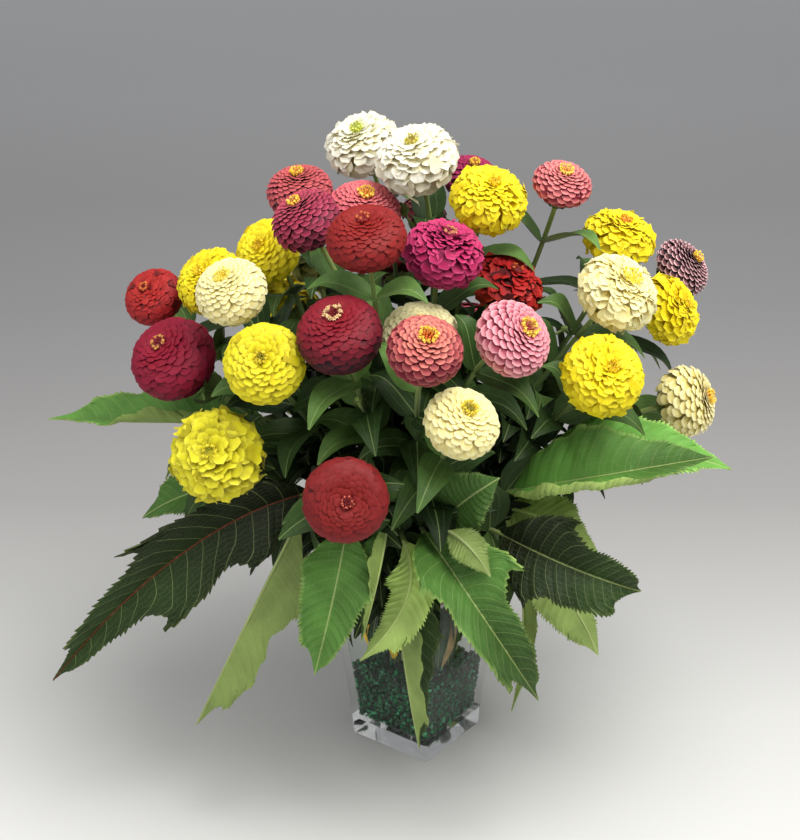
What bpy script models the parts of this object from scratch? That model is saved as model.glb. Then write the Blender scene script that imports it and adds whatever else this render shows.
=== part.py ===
"""A bouquet of zinnias and large cut leaves in a flared square glass vase.

Units are metres, +Z is up, and the origin is the middle of the vase's foot, on the surface it stands on.
-Y is the bouquet's front. The design tables are in centimetres and degrees.
"""

import math

import bmesh
import bpy
import numpy as np

CM = 0.01
MM = 0.001
GAP = 0.3 * MM
UP = np.array([0.0, 0.0, 1.0])

# ---- the vase -------------------------------------------------------------------------------------------
VASE_TURN = math.radians(-82)   # direction of its front corner
FOOT_SIDE = 84 * MM
WAIST_SIDE = 88 * MM
WAIST_HEIGHT = 36 * MM
RIM_SIDE = 112 * MM
RIM_HEIGHT = 160 * MM
WALL = 5.5 * MM
FLOOR = 18 * MM
CORNER = 4 * MM
WATER_LEVEL = 143 * MM
CHIPS_EDGE = 74 * MM
CHIPS_CROWN = 14 * MM
CHIP_RELIEF = 1.6 * MM
CHIP_CELLS = 6

# ---- the flowers ----------------------------------------------------------------------------------------
PETALS = 7                      # in each tier
# for a bloom of radius 1: lip radius, lip height and crease height of each tier, from the lowest
TIERS = ((0.87, -0.42, -0.30), (1.00, 0.00, 0.16), (0.82, 0.48, 0.56))
NOTCH = 0.89                    # how far the gap between two petals reaches in, of the lip radius
CREASE = 0.84                   # how far a tier's root lies in, of the next lip radius
DISC = (0.34, 0.76)             # radius and height of the eye
SEAT = (0.22, -0.66)            # radius and height of the flat foot that the stalk meets

STEM = 2.2 * MM
STEM_SIDES = 4
RIB = 1.3                       # how far a sheaf's ribs and valleys stand out, in stem radii
VALLEY = 0.75
STEM_STEPS = 5
STEM_ROOM = 3 * MM              # that a stem keeps to what was placed before it
CUP = 2.5                       # how far a stem widens under its bloom
SOLVERS = {"stems_right": "MANIFOLD"}   # where the exact solver leaves a sheaf open
SHEAF_RING = 19.5 * MM
SHEAF_FOOT = 30 * MM
SHEAF_TOP = 170 * MM
STEM_SPACING = 4.9 * MM         # between the middles of two stems, side by side in a sheaf
HOLE_ROOM = 0.8 * MM            # between a sheaf or a leaf stalk and the corners of its hole

# colour of each kind of bloom
COLOURS = {
    "ivory": (0.83, 0.83, 0.66),
    "cream": (0.88, 0.82, 0.55),
    "yellow": (0.89, 0.72, 0.03),
    "lemon": (0.72, 0.72, 0.13),
    "red": (0.42, 0.01, 0.02),
    "orange_red": (0.50, 0.04, 0.03),
    "crimson": (0.22, 0.00, 0.03),
    "magenta": (0.45, 0.02, 0.16),
    "rose": (0.60, 0.10, 0.14),
    "coral": (0.62, 0.12, 0.13),
    "pink": (0.75, 0.30, 0.36),
}

# sheaf: node, the direction its foot stands in (None is the middle), and its blooms:
# name, colour, middle x y z (cm), diameter (cm), facing: direction and height in degrees
SHEAVES = (
    ("stems_middle", None, (
        ("white_front", "ivory", (-0.1, 2.5, 52.4), 6.8, (-115, 60)),
        ("coral_back", "coral", (-9.9, 5.5, 49.0), 5.8, (-115, 75)),
        ("crimson_pink", "rose", (-8.9, -3.5, 49.0), 5.8, (-155, 60)),
        ("salmon", "coral", (-4.5, 2.5, 48.0), 6.4, (-75, 65)),
        ("red_top", "red", (-4.0, -10.5, 49.5), 6.2, (-105, 65)),
        ("yellow_top", "yellow", (5.5, -2.0, 50.3), 6.3, (-65, 60)),
        ("magenta_back", "magenta", (4.5, 8.0, 49.5), 5.0, (-60, 70)),
    )),
    ("stems_right", 30, (
        ("orange_red", "orange_red", (7.0, -2.0, 43.0), 6.3, (-30, 60)),
        ("pink_high", "coral", (11.5, 0.0, 51.0), 5.0, (-65, 65)),
        ("yellow_upper_right", "yellow", (16.5, 1.5, 46.0), 6.1, (-45, 70)),
        ("dusty_pink", "pink", (22.4, 5.0, 42.5), 5.4, (-20, 40)),
        ("yellow_right", "yellow", (20.6, -0.5, 40.6), 5.9, (-25, 30)),
        ("cream_far_right", "cream", (22.1, -3.0, 33.5), 6.2, (-20, 20)),
    )),
    ("stems_front_right", -30, (
        ("magenta", "magenta", (1.9, -7.0, 47.3), 6.3, (-50, 70)),
        ("pink_light", "pink", (6.9, -13.0, 42.5), 6.2, (-45, 40)),
        ("cream_right", "cream", (15.4, -7.0, 44.2), 6.6, (-45, 50)),
        ("yellow_lower_right", "yellow", (14.0, -11.5, 39.0), 6.5, (-70, 40)),
    )),
    ("stems_front", -90, (
        ("cream_behind", "cream", (0.1, -9.0, 41.1), 6.4, (-90, 55)),
        ("rose", "rose", (0.3, -17.0, 43.0), 5.8, (-80, 55)),
        ("crimson", "crimson", (-6.0, -13.5, 43.0), 6.6, (-110, 60)),
        ("cream_low", "cream", (3.0, -17.5, 37.5), 5.9, (-60, 55)),
        ("red_low", "red", (-5.5, -20.0, 32.5), 6.5, (-85, 20)),
    )),
    ("stems_front_left", -150, (
        ("yellow_left", "yellow", (-11.7, -13.0, 40.5), 6.5, (-95, 35)),
        ("yellow_low_left", "yellow", (-15.6, -13.0, 33.0), 7.3, (-100, 30)),
        ("cream_left", "ivory", (-14.4, -9.0, 44.9), 5.8, (-120, 55)),
        ("crimson_left", "crimson", (-19.5, -6.5, 38.5), 7.1, (-125, 48)),
    )),
    ("stems_left", 150, (
        ("yellow_upper_left", "yellow", (-12.3, 1.5, 45.0), 5.8, (-120, 35)),
        ("yellow_behind", "yellow", (-16.8, -1.7, 43.4), 5.8, (-130, 45)),
        ("yellow_inner_left", "yellow", (-13.5, 4.0, 40.5), 5.0, (-120, 75)),
        ("lemon", "lemon", (-8.5, 5.0, 42.5), 4.4, (120, 65)),
        ("red_left", "red", (-21.9, 1.0, 41.2), 5.2, (-120, 45)),
    )),
    ("stems_back", 90, (
        ("white_back", "ivory", (-4.6, 9.3, 52.0), 6.6, (-125, 60)),
        ("pink_back", "rose", (0.5, 9.5, 46.0), 4.2, (60, 60)),
        ("back_cream", "cream", (17.2, 10.5, 38.0), 5.6, (50, 35)),
        ("back_red", "red", (-1.5, 15.0, 39.5), 6.2, (95, 40)),
        ("back_yellow", "yellow", (-11.5, 12.0, 37.0), 6.2, (130, 35)),
        ("back_rose", "rose", (5.0, 16.0, 33.0), 6.0, (80, 20)),
    )),
)

# ---- the large cut leaves -------------------------------------------------------------------------------
LEAF_THICK = 1.2 * MM
LEAF_ROWS = 12
LOBE_SHIFT = 0.12               # how far the lobes of the two sides lie apart, of a lobe
PETIOLE = 2.2 * MM
PETIOLE_ROOM = 2.5 * MM
PETIOLE_RING = 35 * MM
PETIOLE_FOOT = 92 * MM

# node, the direction its leaf stalk stands in the vase, and its leaves:
# way the upper side faces (direction, height), width (cm), fold (degrees), lobes (how many, how deep), base, middle and tip (cm)
LARGE_LEAVES = (
    ("leaf_far_left", -170, (
        ((-90, 80), 8.0, 28, (2, 0.22), (-13.0, -2.0, 31.6), (-21.5, -2.5, 31.5), (-31.2, -1.0, 31.1)),
        ((-100, 60), 6.0, 15, (2, 0.25), (-12.5, -4.5, 27.0), (-18.0, -6.5, 27.0), (-23.0, -5.5, 24.0)),
    )),
    ("leaf_low_left", -150, (
        ((-68, 5), 9.2, 26, (3, 0.46), (-9.1, -8.0, 27.5), (-19.1, -13.0, 24.3), (-29.8, -13.5, 13.2)),
    )),
    ("leaf_folded_left", -125, (
        ((6, -33), 7.2, 52, (2, 0.36), (-9.6, -10.5, 26.1), (-14.1, -14.0, 18.0), (-18.3, -13.5, 9.0)),
    )),
    ("leaf_hanging", -108, (
        ((-96, 30), 6.2, 18, (2, 0.25), (-5.7, -13.5, 26.8), (-6.7, -17.0, 22.5), (-8.2, -17.5, 16.2)),
    )),
    ("leaf_pale_centre", -92, (
        ((67, -34), 5.4, 22, (2, 0.40), (-1.2, -13.0, 25.6), (-1.0, -16.0, 22.0), (-4.7, -16.0, 16.5)),
    )),
    ("leaf_front", -78, (
        ((-24, 20), 6.4, 58, (2, 0.36), (-1.6, -10.5, 22.1), (-1.2, -14.0, 16.3), (0.1, -12.5, 6.0)),
    )),
    ("leaf_centre_right", -60, (
        ((-70, 40), 8.8, 24, (2, 0.55), (0.5, -13.0, 26.3), (4.2, -18.0, 22.7), (9.5, -17.0, 13.5)),
    )),
    ("leaf_lower_right", -42, (
        ((-104, 12), 9.1, 25, (2, 0.50), (6.4, -12.3, 26.0), (11.7, -16.4, 25.1), (17.2, -16.4, 23.0)),
        ((98, -37), 5.6, 15, (1, 0.25), (8.5, -8.0, 23.0), (12.3, -10.0, 18.9), (15.1, -9.5, 13.2)),
    )),
    ("leaf_right", -24, (
        ((-115, 60), 8.0, 28, (2, 0.10), (7.6, -8.5, 27.9), (14.4, -13.0, 31.3), (22.9, -12.0, 32.4)),
    )),
    ("leaf_back_right", 4, (
        ((-101, 58), 6.4, 15, (2, 0.15), (10.2, -3.0, 28.6), (17.0, -8.0, 31.4), (25.2, -8.5, 29.8)),
    )),
    ("leaf_behind_vase", 45, (
        ((20, 10), 5.6, 15, (2, 0.28), (7.2, 5.0, 21.0), (9.6, 1.5, 12.5), (8.6, -1.5, 2.6)),
        ((60, 50), 8.0, 15, (3, 0.44), (9.5, 9.5, 27.0), (15.5, 13.0, 28.0), (22.0, 14.5, 21.0)),
    )),
    ("leaf_back", 95, (
        ((95, 35), 9.0, 12, (3, 0.46), (-1.0, 11.0, 25.0), (-2.0, 18.0, 23.0), (-3.0, 20.0, 12.0)),
    )),
    ("leaf_back_left", 150, (
        ((140, 50), 8.0, 15, (3, 0.44), (-9.0, 6.5, 27.0), (-16.5, 9.5, 28.0), (-23.5, 11.0, 20.0)),
    )),
)

# ---- the flowers' own leaves ----------------------------------------------------------------------------
SMALL_LEAF_THICK = 0.8 * MM
SMALL_LEAF_PLACES = (0.42, 0.60, 0.78)   # along each stem
SMALL_LEAF_LENGTHS = (60 * MM, 52 * MM, 44 * MM, 34 * MM)
SMALL_LEAVES_PER_STEM = 2
SMALL_LEAF_ROOM = 2.5 * MM

GREENS = {
    "stem": (0.20, 0.33, 0.10),
    "leaf": (0.04, 0.13, 0.03),
}


def unit(v):
    return np.asarray(v, float) / np.linalg.norm(v)


def heading(direction, height):
    """The unit vector at a compass direction and a height above level, both in degrees."""
    a, e = math.radians(direction), math.radians(height)
    return np.array([math.cos(e) * math.cos(a), math.cos(e) * math.sin(a), math.sin(e)])


def frame_of(axis):
    """Two unit vectors square to an axis and to each other."""
    side = np.cross(axis, UP) if abs(axis[2]) < 0.95 else np.cross(axis, [0.0, 1.0, 0.0])
    side = unit(side)
    return side, np.cross(axis, side)


# ---- curves and clearances ------------------------------------------------------------------------------
def bezier(p, places):
    t = np.asarray(places, float)[:, None]
    s = 1.0 - t
    return s**3 * p[0] + 3 * s * s * t * p[1] + 3 * s * t * t * p[2] + t**3 * p[3]


def bent_line(route):
    """The corners of a stem: its curve taken in straight steps that shorten towards the bloom."""
    t = 1.0 - np.linspace(1.0, 0.0, STEM_STEPS + 1) ** 1.5
    return [bezier(route, [k])[0] for k in t]


def along_line(corners, count):
    """Points spread along a bent line, the same number on each straight."""
    points = [corners[0]]
    for a, b in zip(corners, corners[1:]):
        points += [a + (b - a) * (k + 1) / count for k in range(count)]
    return np.array(points)


def bloom_spheres(middle, axis, radius):
    """Spheres that together fill a flat round bloom: middles and radii."""
    side, other = frame_of(axis)
    spheres = [np.append(middle + 0.10 * radius * axis, 0.66 * radius)]
    for k in range(10):
        a = 2 * math.pi * k / 10
        out = side * math.cos(a) + other * math.sin(a)
        spheres.append(np.append(middle + 0.50 * radius * out, 0.52 * radius))
    return np.array(spheres)


def clearance(points, radius, solids):
    """The least room between a row of balls and the spheres of what is already placed."""
    apart = np.linalg.norm(points[:, None, :] - solids[None, :, :3], axis=2)
    return float((apart - solids[None, :, 3]).min() - radius)


def stem_route(start, end, arrival, solids, radius, room):
    """A bowed curve from the mouth of the vase to a seat, clear of what is already placed."""
    span = np.linalg.norm(end - start)
    leave = unit(0.55 * unit(end - start) + 0.45 * UP)
    low, high = np.minimum(start, end) - 60 * MM, np.maximum(start, end) + 60 * MM
    solids = solids[((solids[:, :3] > low) & (solids[:, :3] < high)).all(axis=1)]
    side, other = frame_of(unit(end - start))
    best = None
    for bow in (0.0, 8 * MM, 16 * MM, 24 * MM, 34 * MM, 46 * MM):
        for k in range(12 if bow else 1):
            a = 2 * math.pi * k / 12
            shift = bow * (side * math.cos(a) + other * math.sin(a))
            for reach in (0.30, 0.20, 0.42):
                p = [start, start + 0.34 * span * leave + shift,
                     end - reach * span * arrival + 0.5 * shift, end]
                points = along_line(bent_line(p), 8)
                free = clearance(points[3:-5], radius, solids)
                if best is None or free > best[0]:
                    best = (free, p)
                if free >= room:
                    return p
    return best[1]


# ---- meshes ---------------------------------------------------------------------------------------------
def tube(points, radii, sides, arrival=None):
    """Vertices and faces of a closed tube along a row of points; its last end may face a given way."""
    points = np.asarray(points)
    verts, faces = [], []
    side = None
    for i, (p, r) in enumerate(zip(points, radii)):
        along = unit(points[min(i + 1, len(points) - 1)] - points[max(i - 1, 0)])
        if arrival is not None and i == len(points) - 1:
            along = arrival
        if side is None:
            side = frame_of(along)[0]
        side = unit(side - along * np.dot(side, along))
        other = np.cross(along, side)
        for k in range(sides):
            a = 2 * math.pi * k / sides
            verts.append(p + r * (side * math.cos(a) + other * math.sin(a)))
    for i in range(len(points) - 1):
        for k in range(sides):
            a, b = i * sides + k, i * sides + (k + 1) % sides
            faces.append((a, b, b + sides, a + sides))
    last = (len(points) - 1) * sides
    faces.append(tuple(reversed(range(sides))))
    faces.append(tuple(range(last, last + sides)))
    return verts, faces


def blade(rows, normals, thick):
    """A thin closed leaf from rows of left, rib and right points, split alike on both faces."""
    count = len(rows)
    verts = [p + 0.5 * thick * n for row, n in zip(rows, normals) for p in row]
    verts += [p - 0.5 * thick * n for row, n in zip(rows, normals) for p in row]
    low = 3 * count
    faces = []
    for i in range(count - 1):
        a = 3 * i
        tri = ((a, a + 1, a + 3), (a + 1, a + 4, a + 3), (a + 1, a + 2, a + 5), (a + 1, a + 5, a + 4))
        faces += tri
        faces += [(x + low, z + low, y + low) for x, y, z in tri]
        faces.append((a, a + 3, a + 3 + low, a + low))
        faces.append((a + 5, a + 2, a + 2 + low, a + 5 + low))
    for end, order in ((0, 1), (3 * (count - 1), -1)):
        for k in (0, 1):
            quad = (end + k + 1, end + k, end + k + low, end + k + 1 + low)
            faces.append(quad[::order])
    return verts, faces


def make_mesh(name, verts, faces):
    mesh = bpy.data.meshes.new(name)
    mesh.from_pydata([tuple(map(float, v)) for v in verts], [], faces)
    bm = bmesh.new()
    bm.from_mesh(mesh)
    bmesh.ops.recalc_face_normals(bm, faces=bm.faces)
    bmesh.ops.triangulate(bm, faces=[f for f in bm.faces if len(f.verts) > 3])
    bm.to_mesh(mesh)
    bm.free()
    return mesh


def add_object(name, mesh, material):
    obj = bpy.data.objects.new(name, mesh)
    obj.data.materials.append(material)
    bpy.context.scene.collection.objects.link(obj)
    return obj


def add_boolean(obj, operation, pieces, solver="EXACT"):
    """Joins or cuts with a collection of pieces, applies it and removes the pieces."""
    tools = bpy.data.collections.new(obj.name + "_tools")
    for i, (verts, faces) in enumerate(pieces):
        piece = bpy.data.objects.new(f"{obj.name}_piece{i}", make_mesh(f"{obj.name}_piece{i}", verts, faces))
        tools.objects.link(piece)
    bpy.context.scene.collection.children.link(tools)
    cut = obj.modifiers.new(operation.lower(), "BOOLEAN")
    cut.operation = operation
    cut.operand_type = "COLLECTION"
    cut.collection = tools
    cut.solver = solver
    bpy.context.view_layer.update()
    result = obj.evaluated_get(bpy.context.evaluated_depsgraph_get())
    mesh = bpy.data.meshes.new_from_object(result)
    obj.modifiers.remove(cut)
    obj.data = mesh
    merge_flat_faces(mesh)
    for piece in list(tools.objects):
        bpy.data.objects.remove(piece)
    bpy.data.collections.remove(tools)


def merge_flat_faces(mesh):
    """Clears the needless edges that a Boolean leaves across flat faces, where that keeps the mesh closed."""
    bm = bmesh.new()
    bm.from_mesh(mesh)
    bmesh.ops.dissolve_degenerate(bm, edges=bm.edges, dist=1e-6)
    bmesh.ops.dissolve_limit(bm, angle_limit=math.radians(0.5), verts=bm.verts, edges=bm.edges)
    bmesh.ops.triangulate(bm, faces=bm.faces)
    if all(edge.is_manifold for edge in bm.edges):
        bm.to_mesh(mesh)
    bm.free()


def material(name, colour, roughness, transmission=0.0):
    mat = bpy.data.materials.new(name)
    mat.use_nodes = True
    shader = mat.node_tree.nodes["Principled BSDF"]
    shader.inputs["Base Color"].default_value = (*colour, 1.0)
    shader.inputs["Roughness"].default_value = roughness
    shader.inputs["Transmission Weight"].default_value = transmission
    mat.diffuse_color = (*colour, 1.0)
    return mat


# ---- the bloom ------------------------------------------------------------------------------------------
def bloom_mesh(name, middle, axis, radius):
    """Tiers of round petals, each tier standing out over the one below and turned half a petal."""
    side, other = frame_of(axis)
    verts, faces = [], []

    def put(r, turn, z):
        a = 2 * math.pi * turn / PETALS
        verts.append(middle + radius * (r * (side * math.cos(a) + other * math.sin(a)) + z * axis))
        return len(verts) - 1

    below = [put(SEAT[0], i - 0.5, SEAT[1]) for i in range(PETALS)]
    faces.append(tuple(below))
    for k, (r, lip, crease) in enumerate(TIERS):
        root = TIERS[k + 1][0] * CREASE if k + 1 < len(TIERS) else DISC[0]
        notch, left, right, inner = [], [], [], []
        for i in range(PETALS):
            turn = i + 0.5 * k
            notch.append(put(NOTCH * r, turn - 0.5, lip - 0.03))
            left.append(put(r, turn - 0.24, lip))
            right.append(put(r, turn + 0.24, lip))
            inner.append(put(root, turn, crease))
        for i in range(PETALS):
            j = (i + 1) % PETALS
            # the petal's under side, from the crease below it, and its upper side, to the crease above
            faces += [(below[i], notch[i], left[i]), (below[i], left[i], below[j])]
            faces += [(below[j], left[i], right[i]), (below[j], right[i], notch[j])]
            faces += [(notch[i], inner[i], left[i]), (left[i], inner[i], right[i])]
            faces += [(right[i], inner[i], notch[j]), (notch[j], inner[i], inner[j])]
        below = inner
    top = put(0.0, 0, DISC[1])
    faces += [(below[i], below[(i + 1) % PETALS], top) for i in range(PETALS)]
    return make_mesh(name, verts, faces)


# ---- stems and their small leaves -----------------------------------------------------------------------
def sheaf_place(direction):
    if direction is None:
        return np.zeros(3)
    return SHEAF_RING * heading(direction, 0)


def sheaf_offset(count):
    """How far the stems stand from the middle of a sheaf, in a ring that just holds them all."""
    return STEM_SPACING / (2 * math.sin(math.pi / count))


def sheaf_column(place, starts):
    """The part of a sheaf inside the vase: its stems side by side, as one ribbed column."""
    count = len(starts)
    sides = 2 * count
    turn = math.atan2(starts[0][1] - place[1], starts[0][0] - place[0])
    verts, faces = [], []
    for z in (SHEAF_FOOT, SHEAF_TOP):
        for k in range(sides):
            a = turn + math.pi * k / count
            r = sheaf_offset(count) + (RIB if k % 2 == 0 else VALLEY) * STEM
            verts.append(place + np.array([r * math.cos(a), r * math.sin(a), z]))
    for k in range(sides):
        m = (k + 1) % sides
        faces.append((k, m, m + sides, k + sides))
    faces += [tuple(range(sides)), tuple(range(sides, 2 * sides))]
    return verts, faces


def stem_starts(place, ends):
    """Where each stem leaves its sheaf: round the column, in the order that the blooms stand in."""
    count = len(ends)
    ways = [math.atan2(e[1] - place[1], e[0] - place[0]) for e in ends]
    starts = [None] * count
    order = sorted(range(count), key=lambda i: ways[i])
    for slot, i in enumerate(order):
        out = heading(360 * slot / count + math.degrees(ways[order[0]]), 0)
        starts[i] = place + sheaf_offset(count) * out + SHEAF_TOP * UP
    return starts


def stem_tube(route, axis):
    """A stem from inside its sheaf's head to the cup that meets the foot of its bloom."""
    points = bent_line(route)
    points = [points[0] - 8 * MM * UP] + points[1:-1] + [points[-1] - 7 * MM * axis, points[-1]]
    radii = [STEM] * (len(points) - 1) + [CUP * STEM]
    return tube(points, radii, STEM_SIDES, axis)


def small_leaf(base, out, length, along):
    """Left, rib and right points of an ovate leaf that leaves a stem and droops a little."""
    rows = []
    side = unit(np.cross(out, along))
    for t, half in ((0.0, 0.03), (0.34, 0.21), (0.70, 0.15), (1.0, 0.0)):
        rib = base + length * (t * out + 0.10 * math.sin(math.pi * t) * along - 0.22 * t * t * UP)
        lift = 0.35 * half * length * along
        rows.append((rib - half * length * side + lift, rib, rib + half * length * side + lift))
    return rows


def small_leaf_solid(rows, along):
    """A closed blade 0.8 mm thick that runs to one point at each end."""
    outline = [rows[0][1], rows[1][0], rows[2][0], rows[3][1], rows[2][2], rows[1][2]]
    ribs = [rows[1][1], rows[2][1]]
    shift = 0.5 * SMALL_LEAF_THICK * along
    verts = [p + shift for p in outline + ribs] + [p - shift for p in outline + ribs]
    skin = ((0, 1, 6), (1, 2, 6), (2, 7, 6), (2, 3, 7), (0, 6, 5), (6, 4, 5), (6, 7, 4), (7, 3, 4))
    faces = list(skin) + [(a + 8, c + 8, b + 8) for a, b, c in skin]
    faces += [(i, i + 8, (i + 1) % 6 + 8, (i + 1) % 6) for i in range(6)]
    return verts, faces


def blade_samples(rows, along, across):
    """Points spread over a blade, with so many steps between its rows and between its edge and rib."""
    grid = np.array(rows)
    t = np.linspace(0, len(rows) - 1, (len(rows) - 1) * along + 1)
    i = np.minimum(t.astype(int), len(rows) - 2)
    f = (t - i)[:, None, None]
    lines = grid[i] * (1 - f) + grid[i + 1] * f
    g = np.linspace(0, 1, across + 1)[None, :, None]
    left = lines[:, 0:1] * (1 - g) + lines[:, 1:2] * g
    right = lines[:, 1:2] * (1 - g) + lines[:, 2:3] * g
    return np.concatenate([left, right[:, 1:]], axis=1).reshape(-1, 3)


def leaf_samples(rows):
    points = blade_samples(rows, 5, 4)
    return points[np.linalg.norm(points - rows[0][1], axis=1) > 7 * MM]


def leaf_balls(rows):
    return np.array([np.append(p, 2.5 * MM) for p in leaf_samples(rows)])


def on_line(route, place):
    """The point at a share of a stem's length, measured on its straight steps."""
    points = along_line(bent_line(route), 20)
    steps = np.linalg.norm(np.diff(points, axis=0), axis=1)
    run = np.concatenate([[0.0], np.cumsum(steps)])
    return np.array([np.interp(place * run[-1], run, points[:, k]) for k in range(3)])


def place_small_leaves(route, solids):
    """Leaves on one stem, each where it has room, the longest first: its rows and the stem's direction."""
    found = []
    for place in SMALL_LEAF_PLACES:
        root = on_line(route, place)
        along = unit(on_line(route, place + 0.02) - on_line(route, place - 0.02))
        side, other = frame_of(along)
        mine = [leaf_balls(rows) for rows, _ in found]
        near = np.vstack([solids] + mine)
        reach = np.linalg.norm(near[:, :3] - root, axis=1) - near[:, 3]
        near = near[reach < SMALL_LEAF_LENGTHS[0] + SMALL_LEAF_ROOM]
        for length in SMALL_LEAF_LENGTHS:
            for k in range(16):
                a = 2 * math.pi * k / 16
                out = unit(side * math.cos(a) + other * math.sin(a) + 0.7 * along)
                rows = small_leaf(root, out, length, along)
                if clearance(leaf_samples(rows), SMALL_LEAF_ROOM, near) > 0:
                    found.append((rows, along))
                    break
            else:
                continue
            break
        if len(found) == SMALL_LEAVES_PER_STEM:
            break
    return found


# ---- the large leaves -----------------------------------------------------------------------------------
def spine(leaf, t):
    """A point on a leaf's midrib, which passes through its base, middle and tip."""
    base, middle, tip = (np.array(p) * CM for p in leaf[4:7])
    return base * (1 - t) * (1 - 2 * t) + middle * 4 * t * (1 - t) + tip * t * (2 * t - 1)


def leaf_half_width(t, width, lobes, side, tooth):
    """Half the width at a place along the leaf, on one side (-1 or 1), with its lobes and its saw teeth."""
    count, depth = lobes
    body = math.sin(math.pi * min(1.0, t**0.75)) ** 1.1
    cut = 1.0 - depth * (0.5 + 0.5 * math.cos(2 * math.pi * (count * t + LOBE_SHIFT * side))) ** 2
    return 0.5 * width * body * cut * (1.10 if tooth else 0.92) + 0.8 * MM


def large_leaf_rows(leaf):
    facing, width, fold, lobes = leaf[:4]
    face = heading(*facing)
    fold = math.radians(fold)
    rows, normals = [], []
    for j in range(LEAF_ROWS):
        t = j / (LEAF_ROWS - 1)
        along = unit(spine(leaf, min(1.0, t + 0.01)) - spine(leaf, max(0.0, t - 0.01)))
        side = unit(np.cross(along, face))
        normal = np.cross(side, along)
        wave = 0.10 * (-1) ** (j // 2)
        edges = []
        for way in (-1, 1):
            half = leaf_half_width(t, width * CM, lobes, way, j % 2 == 1)
            edges.append(half * (way * math.cos(fold) * side + (math.sin(fold) - way * wave) * normal))
        rib = spine(leaf, t)
        rows.append((rib + edges[0], rib, rib + edges[1]))
        normals.append(normal)
    return rows, normals


def petiole_route(direction, leaf, solids):
    """From the leaf's place at the edge of the vase's mouth to its base, clear of what is placed."""
    start = PETIOLE_RING * heading(direction, 0) + SHEAF_TOP * UP
    base = spine(leaf, 0.03)
    arrival = unit(spine(leaf, 0.1) - spine(leaf, 0.0))
    return stem_route(start, base, arrival, solids, PETIOLE, PETIOLE_ROOM)


def leaf_stalk(route, standing):
    """A leaf's stalk; the first of a node runs on down into the water, and the others grow from it."""
    points = bent_line(route)
    if standing:
        points.insert(0, points[0] * np.array([1, 1, 0]) + PETIOLE_FOOT * UP)
    return tube(points, [PETIOLE] * len(points), STEM_SIDES)


def leaf_spheres(rows):
    """Balls that stand for a blade when something is routed past it."""
    return np.array([np.append(p, 4 * MM) for p in blade_samples(rows, 4, 5)])


def route_spheres(route, radius):
    return np.array([np.append(p, radius) for p in along_line(bent_line(route), 14)])


# ---- the vase and what fills it -------------------------------------------------------------------------
def outer_side(z):
    """The vase is nearly straight up to its waist and flares from there to the rim."""
    if z < WAIST_HEIGHT:
        return FOOT_SIDE + (WAIST_SIDE - FOOT_SIDE) * z / WAIST_HEIGHT
    return WAIST_SIDE + (RIM_SIDE - WAIST_SIDE) * (z - WAIST_HEIGHT) / (RIM_HEIGHT - WAIST_HEIGHT)


def square_ring(side, z, corner):
    """Points round a square with rounded corners, turned as the vase stands."""
    points = []
    for k in range(4):
        middle = (side / 2 - corner) * math.sqrt(2)
        a = VASE_TURN + k * math.pi / 2
        for step in (-45, 0, 45):
            b = a + math.radians(step)
            x = middle * math.cos(a) + corner * math.cos(b)
            y = middle * math.sin(a) + corner * math.sin(b)
            points.append(np.array([x, y, z]))
    return points


def vase_solid():
    rings = [
        square_ring(FOOT_SIDE - 2 * MM, 0.0, CORNER),
        square_ring(outer_side(1.2 * MM), 1.2 * MM, CORNER),
        square_ring(WAIST_SIDE, WAIST_HEIGHT, CORNER),
        square_ring(RIM_SIDE, RIM_HEIGHT - 1 * MM, CORNER),
        square_ring(RIM_SIDE - 1.5 * MM, RIM_HEIGHT, CORNER),
        square_ring(RIM_SIDE - 2 * WALL + 1.5 * MM, RIM_HEIGHT, CORNER - 1 * MM),
        square_ring(RIM_SIDE - 2 * WALL, RIM_HEIGHT - 1 * MM, CORNER - 1 * MM),
        square_ring(WAIST_SIDE - 2 * WALL, WAIST_HEIGHT, CORNER - 1 * MM),
        square_ring(outer_side(FLOOR) - 2 * WALL, FLOOR, CORNER - 1 * MM),
    ]
    count = len(rings[0])
    verts = [p for ring in rings for p in ring]
    faces = [tuple(range(count)), tuple(range(len(verts) - count, len(verts)))]
    for i in range(len(rings) - 1):
        for k in range(count):
            a, b = i * count + k, i * count + (k + 1) % count
            faces.append((a, b, b + count, a + count))
    return verts, faces


def chips_height(u, v):
    """The heap of glass chips: higher in the middle, and rough."""
    r = math.hypot(u, v)
    rough = CHIP_RELIEF * math.sin(7.1 * u + 1.3) * math.cos(6.3 * v - 0.4)
    rough += 0.6 * CHIP_RELIEF * math.cos(11.0 * u * v + 4.0 * u)
    return CHIPS_EDGE + CHIPS_CROWN * max(0.0, 1.0 - 0.8 * r) + rough


def inside_point(u, v, z):
    """A point on the cavity's cross section, with u and v running from -1 to 1 across it."""
    half = outer_side(z) / 2 - WALL - GAP
    if abs(u) == 1 and abs(v) == 1:
        half -= 2 * MM
    turn = VASE_TURN + math.pi / 4
    x, y = u * half, v * half
    return np.array([x * math.cos(turn) - y * math.sin(turn), x * math.sin(turn) + y * math.cos(turn), z])


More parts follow.
